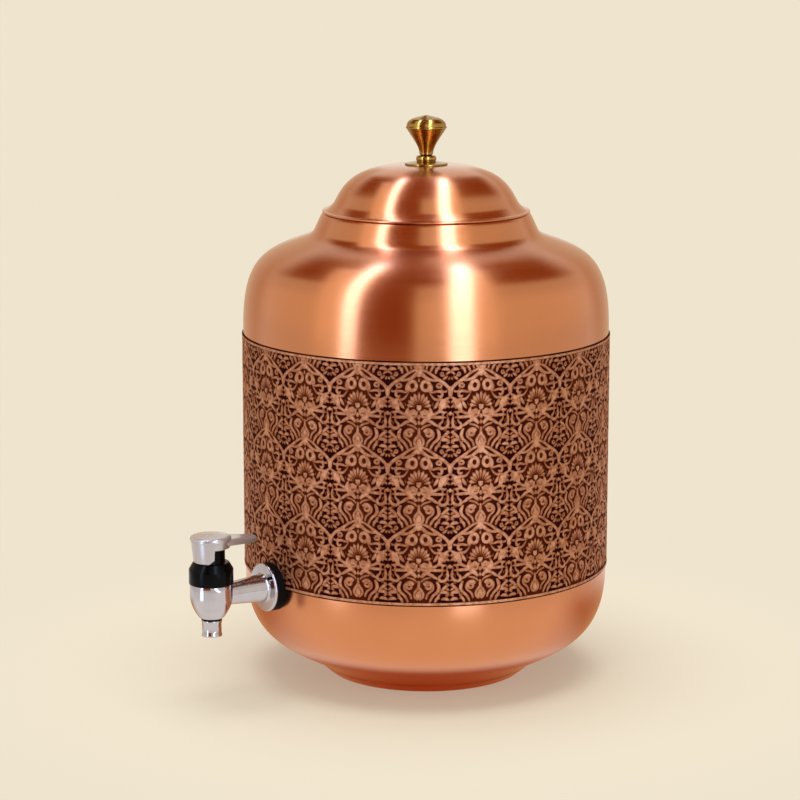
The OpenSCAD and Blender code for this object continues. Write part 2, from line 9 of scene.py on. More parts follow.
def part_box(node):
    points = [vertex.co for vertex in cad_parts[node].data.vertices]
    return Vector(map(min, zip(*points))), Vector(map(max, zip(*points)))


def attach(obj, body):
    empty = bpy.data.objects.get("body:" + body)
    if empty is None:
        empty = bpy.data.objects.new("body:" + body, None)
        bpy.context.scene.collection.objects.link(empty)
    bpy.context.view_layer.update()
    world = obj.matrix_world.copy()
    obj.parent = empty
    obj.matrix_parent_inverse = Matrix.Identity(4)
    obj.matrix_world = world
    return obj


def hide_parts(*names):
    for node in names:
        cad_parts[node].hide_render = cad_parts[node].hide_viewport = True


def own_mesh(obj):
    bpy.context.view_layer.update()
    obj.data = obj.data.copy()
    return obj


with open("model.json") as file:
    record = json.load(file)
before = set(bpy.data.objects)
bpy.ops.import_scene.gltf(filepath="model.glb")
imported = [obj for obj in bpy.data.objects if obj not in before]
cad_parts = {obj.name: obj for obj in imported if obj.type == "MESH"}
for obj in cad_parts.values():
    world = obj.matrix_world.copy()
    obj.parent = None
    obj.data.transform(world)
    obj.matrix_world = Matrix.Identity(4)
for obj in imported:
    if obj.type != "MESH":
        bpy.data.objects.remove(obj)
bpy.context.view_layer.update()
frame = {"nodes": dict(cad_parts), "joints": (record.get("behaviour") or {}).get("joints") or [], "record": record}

METRE = 1000.0  # in millimetres, the unit of the sizes below
MM = 1 / METRE


# Sizes and places from the CAD

def extent(node):
    """A CAD node's half width, its lowest height and its highest height, to a hundredth."""
    low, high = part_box(node)
    return [round(size / MM, 2) for size in (high[0], low[2], high[2])]


def joint_place(name):
    """The point that a joint turns about."""
    found = next(joint for joint in frame["joints"] if joint["name"] == name)
    return [round(size / MM, 2) for size in found["pos_m"]]


SHELL_R, BOWL_LOW, BOWL_TOP = extent("lower_shell")
_, SHOULDER_LOW, RIM_TOP = extent("upper_shell")
BAND_R, BAND_LOW, BAND_TOP = extent("decorated_band")
LID_R, LID_LOW, LID_TOP = extent("lid_dome")
ROSETTE_R, ROSETTE_LOW, KNOB_LOW = extent("knob_rosette")
_, _, KNOB_TOP = extent("knob")
FLANGE_R, _, BARREL_TOP = extent("tap_body")
_, SEAT_Z, _ = extent("seat_plug")
NOZZLE_R, NOZZLE_LOW, NOZZLE_TOP = extent("spout_nozzle")
SEAL_R, SEAL_LOW, SEAL_TOP = extent("spout_seal")
COLLAR_R, COLLAR_LOW, TOWER_TOP = extent("bonnet")
CAP_R, SKIRT_LOW, CAP_TOP = extent("lever_handle")
_, TAP_Y, ARM_Z = joint_place("stem_swivel")  # the tap's upright axis and the height of its arm
_, _, HINGE_Z = joint_place("lever_press")

GROUND_R = BAND_R - 0.5  # the band's blackened ground
VIEW = 55.1  # the camera's bearing round the pot, in degrees from the tap
TO_CAMERA = (sin(radians(VIEW)), -cos(radians(VIEW)), 0)
FIRST = VIEW - 2.0  # the bearing of the palmette nearest to the camera
COLUMN = 360 / 19.5  # degrees from one palmette to the next


# Colours, nodes and finishes

NOISE_LOW, NOISE_HIGH = 0.3, 0.7  # most of a noise lies between these


def colour(code):
    """An sRGB hex code as linear red, green, blue and alpha."""
    parts = [int(code[i:i + 2], 16) / 255 for i in (1, 3, 5)]
    return [p / 12.92 if p <= 0.04045 else ((p + 0.055) / 1.055) ** 2.4 for p in parts] + [1]


def add(tree, kind, inputs=None, to=None, out=None, **settings):
    """Adds one shader node. Its inputs take values or other outputs, and its own output can feed a socket."""
    made = tree.nodes.new("ShaderNode" + kind)
    for name, value in settings.items():
        setattr(made, name, value)
    for name, value in (inputs or {}).items():
        if isinstance(value, bpy.types.NodeSocket):
            tree.links.new(value, made.inputs[name])
        else:
            made.inputs[name].default_value = value
    result = made.outputs[out] if out else next(s for s in made.outputs if s.enabled)
    if to:
        tree.links.new(result, to)
    return result


def new_finish(name, **values):
    """A new material, its tree and its shader's inputs. The values are the same all over its surface."""
    made = bpy.data.materials.new(name)
    made.use_nodes = True
    shader = made.node_tree.nodes["Principled BSDF"].inputs
    for key, value in values.items():
        shader[key.replace("_", " ")].default_value = value
    return made, made.node_tree, shader


def from_axis(tree):
    """A point's place, its place without the height, and its distance from the pot's axis."""
    here = add(tree, "TexCoord", out="Object")
    level = add(tree, "VectorMath", {0: here, 1: (1, 1, 0)}, operation="MULTIPLY")
    return here, level, add(tree, "VectorMath", {0: level}, operation="LENGTH")


def turned_lines(tree, width, length):
    """Lines round the pot's axis, as a lathe leaves them, drawn coarser than its cuts so that they show."""
    along, across = METRE / length, METRE / width
    here, level, radius = from_axis(tree)
    rings = add(tree, "VectorMath", {0: (0, 0, across), "Scale": radius}, operation="SCALE")
    place = add(tree, "VectorMath", {0: level, 1: (along, along, along), 2: rings}, operation="MULTIPLY_ADD")
    height = add(tree, "VectorMath", {0: here, 1: (0, 0, across)}, operation="DOT_PRODUCT")
    return add(tree, "TexNoise", {"Vector": place, "W": height, "Scale": 1.0, "Detail": 2.0},
               noise_dimensions="4D")


def grained(tree, shader, pattern, shine, depth=0.0):
    """Lets a pattern vary the roughness between two values, and gives it a depth."""
    smooth, rough = shine
    add(tree, "MapRange", {0: pattern, 1: NOISE_LOW, 2: NOISE_HIGH, 3: smooth, 4: rough}, shader["Roughness"])
    if depth:
        add(tree, "Bump", {"Height": pattern, "Strength": 1.0, "Distance": depth * MM}, shader["Normal"])


def mottled(name, size, detail, tones, shine, depth=0.0, **values):
    """A material with one soft mottle of a size, which sets its tone, its shine and its relief."""
    made, tree, shader = new_finish(name, **values)
    here = add(tree, "TexCoord", out="Object")
    mottle = add(tree, "TexNoise", {"Vector": here, "Scale": METRE / size, "Detail": detail})
    dark, light = (colour(code) for code in tones)
    add(tree, "Mix", {0: mottle, 6: dark, 7: light}, shader["Base Color"], data_type="RGBA")
    grained(tree, shader, mottle, shine, depth)
    return made


# Spun copper sheet, turned on a lathe, left satin and lacquered: lines round the axis pull each
# highlight up and down into a streak, the lacquer gives it a white core, and the colour drifts a
# little where it was rubbed.
spun_copper, tree, shader = new_finish(
    "spun_copper", Metallic=1.0, Anisotropic=0.6, Anisotropic_Rotation=0.25,
    Coat_Weight=0.42, Coat_Roughness=0.16)
here = add(tree, "TexCoord", out="Object")
drift = add(tree, "TexNoise", {"Vector": here, "Scale": METRE / 45, "Detail": 2.0})
add(tree, "Mix", {0: drift, 6: colour("#C27849"), 7: colour("#CA8050")}, shader["Base Color"],
    data_type="RGBA")
grained(tree, shader, turned_lines(tree, 0.9, 60), (0.21, 0.26), 0.003)
add(tree, "Tangent", {}, shader["Tangent"], direction_type="RADIAL", axis="Z")

# Embossed copper, blackened and then rubbed, with painted shade: by height above the ground the strokes are
# pinkish on top, browner on their flanks and dark at their feet, patina in the hollows and painted shade together,
# with worn blotches.
FOOT_TO, FLANK_FROM = GROUND_R + 0.06, GROUND_R + 0.24
LIT_RUB_FROM, LIT_RUB_TO = GROUND_R + 0.22, GROUND_R + 0.45
rubbed_and_shaded_copper, tree, shader = new_finish("rubbed_and_shaded_copper", Metallic=1.0)
here, _, radius = from_axis(tree)
# Painted shade with the patina: the colour darkens down each stroke's flanks to its foot and lightens on its top
above_patina_and_shade = add(tree, "MapRange", {0: radius, 1: FOOT_TO * MM, 2: FLANK_FROM * MM, 3: 0.0, 4: 1.0})
rubbed_and_lit_top = add(tree, "MapRange", {0: radius, 1: LIT_RUB_FROM * MM, 2: LIT_RUB_TO * MM, 3: 0.0, 4: 1.0})
worn = add(tree, "TexNoise", {"Vector": here, "Scale": METRE / 2.2, "Detail": 2.0})
blotch = add(tree, "MapRange", {0: worn, 1: 0.36, 2: 0.62, 3: 0.4, 4: 1.0})
shade = add(tree, "Math", {0: rubbed_and_lit_top, 1: blotch}, operation="MULTIPLY")
upper = add(tree, "Mix", {0: shade, 6: colour("#82411F"), 7: colour("#C28A64")}, data_type="RGBA")
add(tree, "Mix", {0: above_patina_and_shade, 6: colour("#320C03"), 7: upper}, shader["Base Color"], data_type="RGBA")
grain = add(tree, "TexNoise", {"Vector": here, "Scale": METRE / 0.8, "Detail": 2.0})
grained(tree, shader, grain, (0.48, 0.62))

# The blackened ground between the strokes: a dull, sooty patina, black in the columns and rubbed
# to a red-brown round the palmettes.
black_patina, tree, shader = new_finish("black_patina", Specular_IOR_Level=0.03)
here = add(tree, "TexCoord", out="Object")
soot = add(tree, "TexNoise", {"Vector": here, "Scale": METRE / 1.6, "Detail": 3.0})
sideways = add(tree, "SeparateXYZ", {"Vector": here}, out="X")
back = add(tree, "SeparateXYZ", {"Vector": here}, out="Y")
front = add(tree, "Math", {0: back, 1: -1.0}, operation="MULTIPLY")
bearing = add(tree, "Math", {0: sideways, 1: front}, operation="ARCTAN2")
repeats = 360 / COLUMN
turns = add(tree, "Math", {0: bearing, 1: repeats, 2: -radians(FIRST) * repeats}, operation="MULTIPLY_ADD")
wave = add(tree, "Math", {0: turns}, operation="COSINE")
mixed = add(tree, "Math", {0: soot, 1: 0.8, 2: wave}, operation="MULTIPLY_ADD")
rub = add(tree, "MapRange", {0: mixed, 1: -0.2, 2: 1.3, 3: 0.0, 4: 1.0})
add(tree, "Mix", {0: rub, 6: colour("#2C0400"), 7: colour("#5A1F09")}, shader["Base Color"], data_type="RGBA")
grained(tree, shader, soot, (0.55, 0.72), 0.04)

# Turned brass, polished by hand: sharp yellow highlights, and a browner tarnish in patches.
polished_brass, tree, shader = new_finish("polished_brass", Metallic=1.0)
here = add(tree, "TexCoord", out="Object")
tarnish = add(tree, "TexNoise", {"Vector": here, "Scale": METRE / 7, "Detail": 3.0})
add(tree, "Mix", {0: tarnish, 6: colour("#7F5A25"), 7: colour("#B8954A")}, shader["Base Color"],
    data_type="RGBA")
grained(tree, shader, turned_lines(tree, 0.5, 20), (0.12, 0.22), 0.005)

# Chrome plate on a polished casting: a mirror with a faint ripple.
chrome_plate = mottled("chrome_plate", 5, 1.0, ("#ADA7A8", "#BEB8B9"), (0.05, 0.10), 0.01, Metallic=1.0)

# Satin chrome on the lever's moulding: softer and paler than the polished casting, faintly mottled.
satin_chrome = mottled("satin_chrome", 2.5, 2.0, ("#BCB5B5", "#C4BEBE"), (0.22, 0.26), 0.002, Metallic=0.55)

# Moulded ABS, glossy black, with a very faint flow texture.
black_abs = mottled("black_abs", 1.5, 2.0, ("#040405", "#0A0A0B"), (0.14, 0.22), 0.004,
                    IOR=1.54, Specular_IOR_Level=0.06)

# EPDM rubber, moulded: matt black with a greyish bloom.
black_rubber = mottled("black_rubber", 1.2, 3.0, ("#060606", "#121111"), (0.48, 0.68), 0.03,
                       IOR=1.5, Specular_IOR_Level=0.06)

# Silicone, moulded: milky white, soft, with the light sinking in a little.
white_silicone = mottled("white_silicone", 2.0, 2.0, ("#D8D7D1", "#E7E6E1"), (0.42, 0.56),
                         IOR=1.41, Subsurface_Weight=0.2)

# Stainless steel, drawn and turned: grey, with short fine lines.
drawn_steel, tree, shader = new_finish("drawn_steel", Metallic=1.0)
lines = turned_lines(tree, 0.4, 3)
add(tree, "Mix", {0: lines, 6: colour("#8D8E92"), 7: colour("#ABACB0")}, shader["Base Color"],
    data_type="RGBA")
grained(tree, shader, lines, (0.20, 0.36), 0.006)

FINISHES = {
    "spun_copper": spun_copper, "antiqued_copper": rubbed_and_shaded_copper, "cast_brass": polished_brass,
    "chrome_plate": chrome_plate, "black_plastic": black_abs, "black_rubber": black_rubber,
    "silicone": white_silicone, "steel": drawn_steel,
}
for part in frame["record"]["subparts"]:
    kept = frame["nodes"][part["node"]]
    kept.data.materials.clear()
    kept.data.materials.append(FINISHES[part["material_slot"]])


# Shaping

def bend(a, b, c, d, steps=24):
    """Points of a curve with four control points, without its first."""
    return [tuple(
        (1 - t) ** 3 * p + 3 * (1 - t) ** 2 * t * q + 3 * (1 - t) * t * t * r + t ** 3 * s
        for p, q, r, s in zip(a, b, c, d)
    ) for t in (i / steps for i in range(1, steps + 1))]


def corner(a, tip, b, steps=6):
    """Points that round off a corner, without the first."""
    return [tuple(
        (1 - t) ** 2 * p + 2 * (1 - t) * t * q + t * t * r for p, q, r in zip(a, tip, b)
    ) for t in (i / steps for i in range(1, steps + 1))]


def spun(profile, sides=160, closed=False, wall=0.0, soften=0.0, share=1.0):
    """Spins a profile of radius and height about the upright axis, all the way round or for a share of it."""
    bm = bmesh.new()
    dots = [bm.verts.new((r * MM, 0, z * MM)) for r, z in profile]
    links = [bm.edges.new(pair) for pair in zip(dots, dots[1:])]
    if closed:
        links.append(bm.edges.new((dots[-1], dots[0])))
    bmesh.ops.spin(bm, geom=dots + links, axis=(0, 0, 1), cent=(0, 0, 0), angle=2 * pi * share,
                   steps=sides, use_merge=share == 1.0)
    bmesh.ops.remove_doubles(bm, verts=bm.verts, dist=1e-6)
    bmesh.ops.dissolve_degenerate(bm, edges=bm.edges, dist=1e-7)
    bmesh.ops.recalc_face_normals(bm, faces=bm.faces)
    if wall:
        bmesh.ops.solidify(bm, geom=bm.faces[:], thickness=wall * MM)
    if soften:
        round_edges(bm, soften)
    return bm


def round_edges(bm, width, sharp=28, segments=3):
    """Rounds the sharp edges of a closed mesh."""
    edges = [e for e in bm.edges if len(e.link_faces) == 2 and e.calc_face_angle() > radians(sharp)]
    bmesh.ops.bevel(bm, geom=edges, offset=width * MM, offset_type="OFFSET", affect="EDGES",
                    segments=segments, profile=0.5, material=-1, clamp_overlap=True)


def plate(outline, low, top):
    """A flat plate of an outline in x and y, between two heights."""
    bm = bmesh.new()
    face = bm.faces.new([bm.verts.new((x * MM, y * MM, low * MM)) for x, y in outline])
    raised = bmesh.ops.extrude_face_region(bm, geom=[face])["geom"]
    lid = [v for v in raised if isinstance(v, bmesh.types.BMVert)]
    bmesh.ops.translate(bm, vec=(0, 0, (top - low) * MM), verts=lid)
    bmesh.ops.recalc_face_normals(bm, faces=bm.faces)
    return bm


def shift(bm, x=0.0, y=0.0, z=0.0):
    """Moves a mesh."""
    bmesh.ops.translate(bm, vec=(x * MM, y * MM, z * MM), verts=bm.verts)
    return bm


def turn(bm, degrees, axis):
    """Turns a mesh about an axis through the origin."""
    bmesh.ops.rotate(bm, cent=(0, 0, 0), matrix=Matrix.Rotation(radians(degrees), 3, axis), verts=bm.verts)
    return bm


def along_arm(bm):
    """Lays an upright piece along the tap's arm, with its height measured out from the pot's axis."""
    return shift(turn(bm, 90, "X"), z=ARM_Z)


def at_tap(bm):
    """Moves a piece from the pot's axis to the tap's."""
    return shift(bm, y=TAP_Y)


def on_edge(bm):
    """Stands a plate on edge, with its x along the lever and its y upright."""
    return turn(turn(bm, 90, "X"), 90, "Z")


def gather(*parts):
    """Puts several meshes into one."""
    whole = bmesh.new()
    for bm in parts:
        held = bpy.data.meshes.new("held")
        bm.to_mesh(held)
        bm.free()
        whole.from_mesh(held)
        bpy.data.meshes.remove(held)
    return whole


def cut(bm, tool):
    """Takes one closed mesh away from another."""
    held = []
    for source in (bm, tool):
        mesh = bpy.data.meshes.new("held")
        source.to_mesh(mesh)
        source.free()
        held.append(bpy.data.objects.new("held", mesh))
        bpy.context.scene.collection.objects.link(held[-1])
    saw = held[0].modifiers.new("saw", "BOOLEAN")
    saw.operation, saw.solver, saw.object = "DIFFERENCE", "EXACT", held[1]
    result = bpy.data.meshes.new_from_object(held[0].evaluated_get(bpy.context.evaluated_depsgraph_get()))
    left = bmesh.new()
    left.from_mesh(result)
    for made in held:
        mesh = made.data
        bpy.data.objects.remove(made)
        bpy.data.meshes.remove(mesh)
    bpy.data.meshes.remove(result)
    return left


def kept_side(bm, place, away):
    """Cuts a mesh at a plane and drops the side that the arrow points to."""
    bmesh.ops.bisect_plane(bm, geom=bm.verts[:] + bm.edges[:] + bm.faces[:], plane_co=Vector(place) * MM,
                           plane_no=away, clear_outer=True, dist=1e-7)


def piece(name, bm, material, body, slot, *nodes, sharp=35):
    """Makes the object, ties it to the body that carries it, and hides the CAD nodes that it stands for."""
    mesh = bpy.data.meshes.new(name)
    bm.to_mesh(mesh)
    bm.free()
    mesh.shade_smooth()
    mesh.set_sharp_from_angle(angle=radians(sharp))
    mesh.materials.append(material)
    made = bpy.data.objects.new(name, mesh)
    bpy.context.scene.collection.objects.link(made)
    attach(made, body)
    if nodes:
        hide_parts(*nodes)
    return made


# The vessel

WALL = 1.0  # the thickness of the copper sheet
SHANK_HOLE = 7.25  # the radius of the hole for the tap
HOLE_FROM, HOLE_TO = 90, 110  # the drill's reach, measured out from the pot's axis


def shank_drill():
    """The drill for the tap's hole, through the wall on the tap's side only."""
    outline = [(0, HOLE_FROM), (SHANK_HOLE, HOLE_FROM), (SHANK_HOLE, HOLE_TO), (0, HOLE_TO)]
    return along_arm(spun(outline, sides=64))


# The bowl has a flat bottom, a round side and a straight wall, and its top steps in to fit the shoulder
FLAT_R, STEP_R = 58.0, 98.2
SIDE_START = (61, 6)
bowl = [(0, BOWL_LOW), (30, BOWL_LOW), (FLAT_R, BOWL_LOW)]
bowl += corner((FLAT_R, BOWL_LOW), (59.3, BOWL_LOW), SIDE_START, 5)
bowl += bend(SIDE_START, (76.875, 17.833), (SHELL_R, 17.5), (SHELL_R, 57.5), 40)
bowl += [(SHELL_R, 75), (SHELL_R, 121.5), (STEP_R, SHOULDER_LOW), (STEP_R, BOWL_TOP)]
piece("bowl_shell", cut(spun(bowl, wall=WALL, soften=0.25), shank_drill()), spun_copper,
      "vessel", "spun_copper", "lower_shell")

# The shoulder rises from the straight wall, rounds over to the neck and ends in a rolled rim
ROUND_START, NECK_FOOT, NECK_TOP = (SHELL_R, 190.5), (64.316, 240.164), (57.4, 250.15)
shoulder = [(SHELL_R, SHOULDER_LOW), (SHELL_R, 160), ROUND_START]
shoulder += bend(ROUND_START, (SHELL_R, 230.3), (86.56, 231.98), NECK_FOOT, 40)
shoulder += corner(NECK_FOOT, (61.5, 241.2), (60.25, 243.93)) + [(58.2, 248.4), NECK_TOP]
shoulder += corner(NECK_TOP, (LID_R, RIM_TOP), (54.6, RIM_TOP)) + [(54.3, RIM_TOP)]
piece("shoulder_shell", spun(shoulder, wall=WALL, soften=0.25), spun_copper,
      "vessel", "spun_copper", "upper_shell")

# The foot ring: a flat flange that flares up under the bowl
FOOT_IN, FOOT_SHEET = 48, 1.2
foot = [(FOOT_IN, 0), (54, 0), (59.85, 5.0), (58.8, 4.3), (57.2, 4.3)]
foot += [(53.56, FOOT_SHEET), (FOOT_IN, FOOT_SHEET)]
piece("foot", spun(foot, closed=True, soften=0.3), spun_copper, "vessel", "spun_copper", "foot_ring")

# The band's ground, with a plain raised border along each edge and a butt seam at the back
BACK_R = GROUND_R - 0.1
EDGE = 0.1  # the strip stops this far inside the CAD band's edges
RISE_AND_FALL = (GROUND_R, BAND_R, BAND_R, GROUND_R)
LOWER_BORDER = (0.7, 0.9, 2.2, 2.5)  # where it rises and falls, up from the band's foot
UPPER_BORDER = (2.3, 2.0, 0.8, 0.65)  # the same, down from the band's top
SEAM = 0.4
strip = [(BACK_R, BAND_LOW + EDGE), (GROUND_R, BAND_LOW + EDGE)]
strip += [(r, BAND_LOW + up) for r, up in zip(RISE_AND_FALL, LOWER_BORDER)]
strip += [(r, BAND_TOP - down) for r, down in zip(RISE_AND_FALL, UPPER_BORDER)]
strip += [(GROUND_R, BAND_TOP - EDGE), (BACK_R, BAND_TOP - EDGE)]
gap = SEAM / (2 * pi * BAND_R)
ground = spun(strip, sides=240, closed=True, share=1 - gap)
bmesh.ops.holes_fill(ground, edges=[e for e in ground.edges if e.is_boundary], sides=0)
bmesh.ops.recalc_face_normals(ground, faces=ground.faces)
turn(ground, 90 + 180 * gap, "Z")
band = piece("band_ground", cut(ground, shank_drill()), black_patina,
             "vessel", "antiqued_copper", "decorated_band")
band.data.materials.append(rubbed_and_shaded_copper)
for face in band.data.polygons:
    on_border = Vector(face.center[:2]).length > (BAND_R - 0.1) * MM
    face.material_index = int(on_border)


# The damask relief on the band

# One half of the repeat is drawn flat: u runs from the palmette's axis to the column between two
# palmettes, v runs down from the row's top, and w is half a stroke's width.
ROW = 40.25  # from one row of palmettes to the next
HEART_V = 24.0  # the middle of the palmette
RELIEF = 0.49  # how far the strokes stand up from the ground
CREST = 0.45  # a stroke drawn this high reaches three quarters of that
# A stroke's section, across and up, for a half width of 1
RIDGE = ((-1, -0.1), (-0.78, 0.36), (0, 0.62), (0.78, 0.36), (1, -0.1))
RELIEF_LOW, RELIEF_TOP = BAND_LOW + 2.4, BAND_TOP - 2.2  # on the slopes of the borders
SPLIT = 44.0  # how far below the band's top the upper piece of the relief ends
WHOLE = range(-12, 7)  # the palmettes that the seam leaves whole, counted from the first
CUT_LEFT, CUT_RIGHT = -13, 7  # the palmettes that the seam cuts
TAP_CLEAR = 9.0  # there is no relief this near to the shank, under the washer


def loop(u, v, ru, rv, start, sweep, w, count=7):
    """A stroke round part of an ellipse, in degrees from the u axis towards v."""
    turns = [radians(start + sweep * i / (count - 1)) for i in range(count)]
    return [(u + ru * cos(a), v + rv * sin(a), w) for a in turns]


def curl(u, v, outer, inner, start, sweep, w, count=7):
    """A spiral that winds in from the outer radius to the inner one, and thins on its way."""
    path = []
    for t in (i / (count - 1) for i in range(count)):
        r, a = outer + (inner - outer) * t, radians(start + sweep * t)
        path.append((u + r * cos(a), v + r * sin(a), w * (1 - 0.35 * t)))
    return path


def petal(lean, inner, outer, w):
    """One petal of the palmette, leaning away from its axis."""
    a, middle = radians(lean), inner + 0.72 * (outer - inner)
    widths = ((inner, 0.3), (middle, w), (outer, 0.35))
    return [(r * sin(a), HEART_V - r * cos(a), half) for r, half in widths]


mirrored = [
    # the strap of the ogee: two strands round a slot, then one down to the column
    [(0.2, 4.0, 1.05), (3.4, 4.9, 0.85), (6.4, 6.7, 0.85), (9.3, 9.0, 1.15), (11.7, 10.4, 1.05),
     (13.7, 12.0, 1.05), (15.1, 13.6, 1.05), (15.9, 16.0, 1.0), (16.1, 18.2, 0.84)],
    [(0.6, 5.6, 1.19), (2.3, 7.2, 1.19), (4.6, 8.9, 1.01), (7.0, 9.6, 0.89), (9.2, 9.6, 0.96)],
    # the ring beside the bud, and the leaf on its shoulder
    loop(3.4, 12.5, 2.0, 2.4, -70, 360, 1.15, 9),
    [(5.2, 10.4, 0.59), (6.0, 12.6, 1.06), (6.2, 14.6, 1.06), (5.0, 16.0, 0.47)],
    # the small whorl and the scroll under the strap
    loop(10.3, 12.4, 1.15, 0.95, -150, 360, 0.8, 9),
    [(5.2, 15.6, 0.59), (7.0, 15.9, 0.71), (9.2, 15.4, 0.84), (11.2, 15.6, 0.96), (11.9, 17.2, 0.89),
     (10.6, 18.3, 1.01), (9.6, 17.4, 0.47)],
    [(11.2, 13.8, 0.47), (12.4, 15.6, 0.71), (14.4, 15.2, 0.71)],
    [(5.4, 16.0, 0.47), (6.8, 18.2, 0.65), (8.4, 19.6, 0.84), (10.8, 19.7, 0.96), (12.6, 20.4, 1.06),
     (13.4, 21.6, 0.59)],
    # the broad leaf that falls from the straps' crossing
    [(15.8, 18.4, 0.71), (14.2, 19.4, 0.96), (12.4, 21.2, 1.9), (11.4, 23.2, 1.78), (10.6, 25.4, 1.06),
     (9.0, 26.6, 0.84)],
    [(7.4, 24.6, 0.35), (8.4, 23.4, 1.01), (9.4, 21.8, 1.06), (9.9, 20.4, 0.59)],
    # the body under the palmette
    loop(2.9, 26.2, 0.8, 0.85, 0, 360, 0.95),
    [(5.2, 23.6, 0.47), (6.0, 25.4, 1.06), (5.9, 27.4, 1.55), (4.4, 29.6, 1.55), (2.6, 31.0, 1.19),
     (1.2, 32.6, 0.96)],
    [(1.6, 28.8, 0.84), (3.4, 29.0, 1.06), (2.6, 30.4, 0.84)],
    [(1.0, 25.6, 0.84), (1.4, 27.2, 0.96), (1.6, 28.8, 0.84)],
    [(4.4, 25.2, 0.71), (4.6, 27.0, 0.96), (3.8, 28.4, 0.84)],
    # leaf rays at its side
    [(5.6, 27.4, 0.96), (8.2, 27.0, 0.96), (10.8, 25.8, 0.89), (12.8, 26.4, 0.96), (14.4, 26.0, 0.42)],
    [(5.4, 28.6, 0.96), (8.4, 28.8, 1.01), (11.6, 28.9, 0.96), (14.0, 29.0, 0.47)],
    [(4.6, 30.6, 0.96), (6.6, 31.4, 1.06), (8.2, 32.6, 0.96), (10.0, 33.6, 0.71)],
    [(1.0, 35.2, 0.59), (2.4, 33.8, 0.77), (4.4, 33.0, 0.71), (6.2, 32.6, 0.59)],
    # the hook at the column
    [(14.6, 28.8, 0.59), (15.0, 30.8, 0.89), (14.6, 33.2, 0.96), (12.8, 34.6, 1.01), (10.8, 34.2, 1.06),
     (10.6, 32.4, 0.84), (11.9, 31.2, 0.71), (12.2, 29.6, 0.59)],
    # the volutes that carry the body
    curl(4.8, 37.3, 2.3, 0.4, 200, 500, 1.1, 11),
    [(3.2, 34.5, 0.35), (5.6, 35.1, 0.65), (7.4, 37.0, 0.77), (7.2, 39.2, 0.77), (5.6, 40.6, 0.77),
     (4.4, 42.0, 0.77), (3.8, 44.2, 0.71)],
    [(9.2, 34.8, 0.71), (10.1, 36.6, 1.06), (10.4, 38.8, 1.13), (9.4, 40.6, 0.96), (7.6, 42.2, 0.89),
     (6.2, 44.4, 0.84), (5.6, 46.0, 0.59)],
    # the pear between the volutes
    [(0.3, 38.4, 0.96), (1.4, 39.6, 0.89), (2.3, 41.4, 0.89), (1.9, 43.2, 0.89), (0.2, 44.3, 0.96)],
    # leaves beside the pear and in the column
    [(8.4, 46.6, 0.59), (8.9, 44.6, 0.96), (10.2, 43.0, 0.84), (11.0, 41.4, 0.59)],
    [(15.8, 36.6, 0.59), (14.2, 37.4, 1.01), (12.8, 38.7, 0.96), (11.6, 39.9, 0.84)],
    [(15.9, 41.2, 0.47), (14.0, 40.6, 1.13), (12.2, 40.6, 1.01), (10.8, 40.8, 0.59)],
    [(16.0, 45.0, 0.5), (14.4, 44.2, 1.1), (12.8, 44.1, 1.0), (11.6, 44.6, 0.5)],
    [(9.2, 4.4, 0.84), (8.2, 3.2, 0.47)],
    [(16.0, 5.2, 0.82), (14.7, 5.9, 0.76), (13.7, 6.9, 0.51)],
    [(14.7, 7.5, 0.5), (13.5, 8.3, 0.95), (12.4, 9.2, 0.7)],
    [(14.8, 22.9, 0.71), (13.4, 23.4, 0.89), (12.0, 23.8, 0.59)],
    [(15.0, 26.6, 0.71), (14.6, 28.0, 0.59), (14.6, 29.4, 0.35)],
    [(12.3, 26.4, 0.59), (12.2, 27.6, 0.71), (12.4, 28.8, 0.59)],
    # small links, scrolls and seeds in the dark pockets
    [(13.8, 42.4, 0.4), (14.6, 42.5, 0.75), (15.4, 42.3, 0.4)],
    [(10.2, 41.6, 0.6), (10.0, 43.0, 0.7), (10.8, 44.2, 0.6)],
    [(13.8, 19.8, 0.8), (13.6, 21.4, 0.9), (13.4, 23.0, 0.8), (13.2, 24.6, 0.6)],
    curl(11.9, 6.4, 1.15, 0.3, 20, 430, 0.75),
    [(14.9, 9.6, 0.4), (15.4, 8.8, 0.75), (15.6, 7.9, 0.4)],
    [(14.9, 21.4, 0.4), (14.6, 22.0, 0.7), (14.2, 21.6, 0.4)],
    [(7.2, 21.0, 0.26), (7.0, 22.2, 0.46), (6.6, 23.2, 0.26)],
    [(13.5, 30.9, 0.26), (13.3, 31.9, 0.41), (13.2, 32.8, 0.26)],
    [(12.6, 36.2, 0.3), (13.6, 35.7, 0.46), (14.6, 35.2, 0.3)],
] + [petal(lean, 2.3, outer, 1.15) for lean, outer in ((18, 7.9), (36, 7.5), (55, 6.9), (76, 6.5))]
on_palmette = [
    # the knot of the straps and the bud under it
    [(0, 3.8, 1.9), (0, 6.0, 1.9), (0, 7.8, 1.06)],
    [(0, 8.6, 0.47), (0, 9.8, 0.84), (0, 10.8, 0.35)],
    # the palmette's middle petal, its heart and the seeds below
    petal(0, 2.3, 8.3, 0.95),
    [(0, 22.6, 1.55), (0, 24.4, 1.42), (0, 25.6, 0.47)],
    [(0, 27.4, 0.59), (0, 28.6, 1.19), (0, 29.8, 0.71)],
    [(0, 30.6, 0.59), (0, 31.8, 1.06), (0, 32.8, 0.59)],
    # the stalk and the pear
    [(0, 34.4, 0.71), (0, 36.4, 0.89), (0, 38.4, 1.06)],
    [(0, 39.6, 0.82), (0, 41.8, 1.73), (0, 43.6, 1.52)],
]
on_column = [
    # the straps' crossing and the bead under it
    [(0, 12.8, 0.71), (0, 14.6, 1.42), (0, 16.6, 1.42), (0, 18.4, 0.84)],
    [(0, 25.9, 0.59), (0, 27.0, 1.31), (0, 28.0, 0.59)],
] + [
    # pairs of small leaves up the column
    [(side * 0.3, v, 0.5), (side * 1.2, v - 0.8, 0.85), (side * 2.3, v - 1.1, 0.45)]
    for v in (21.4, 24.0, 32.0, 34.6, 37.2, 39.8, 42.4) for side in (-1, 1)
]


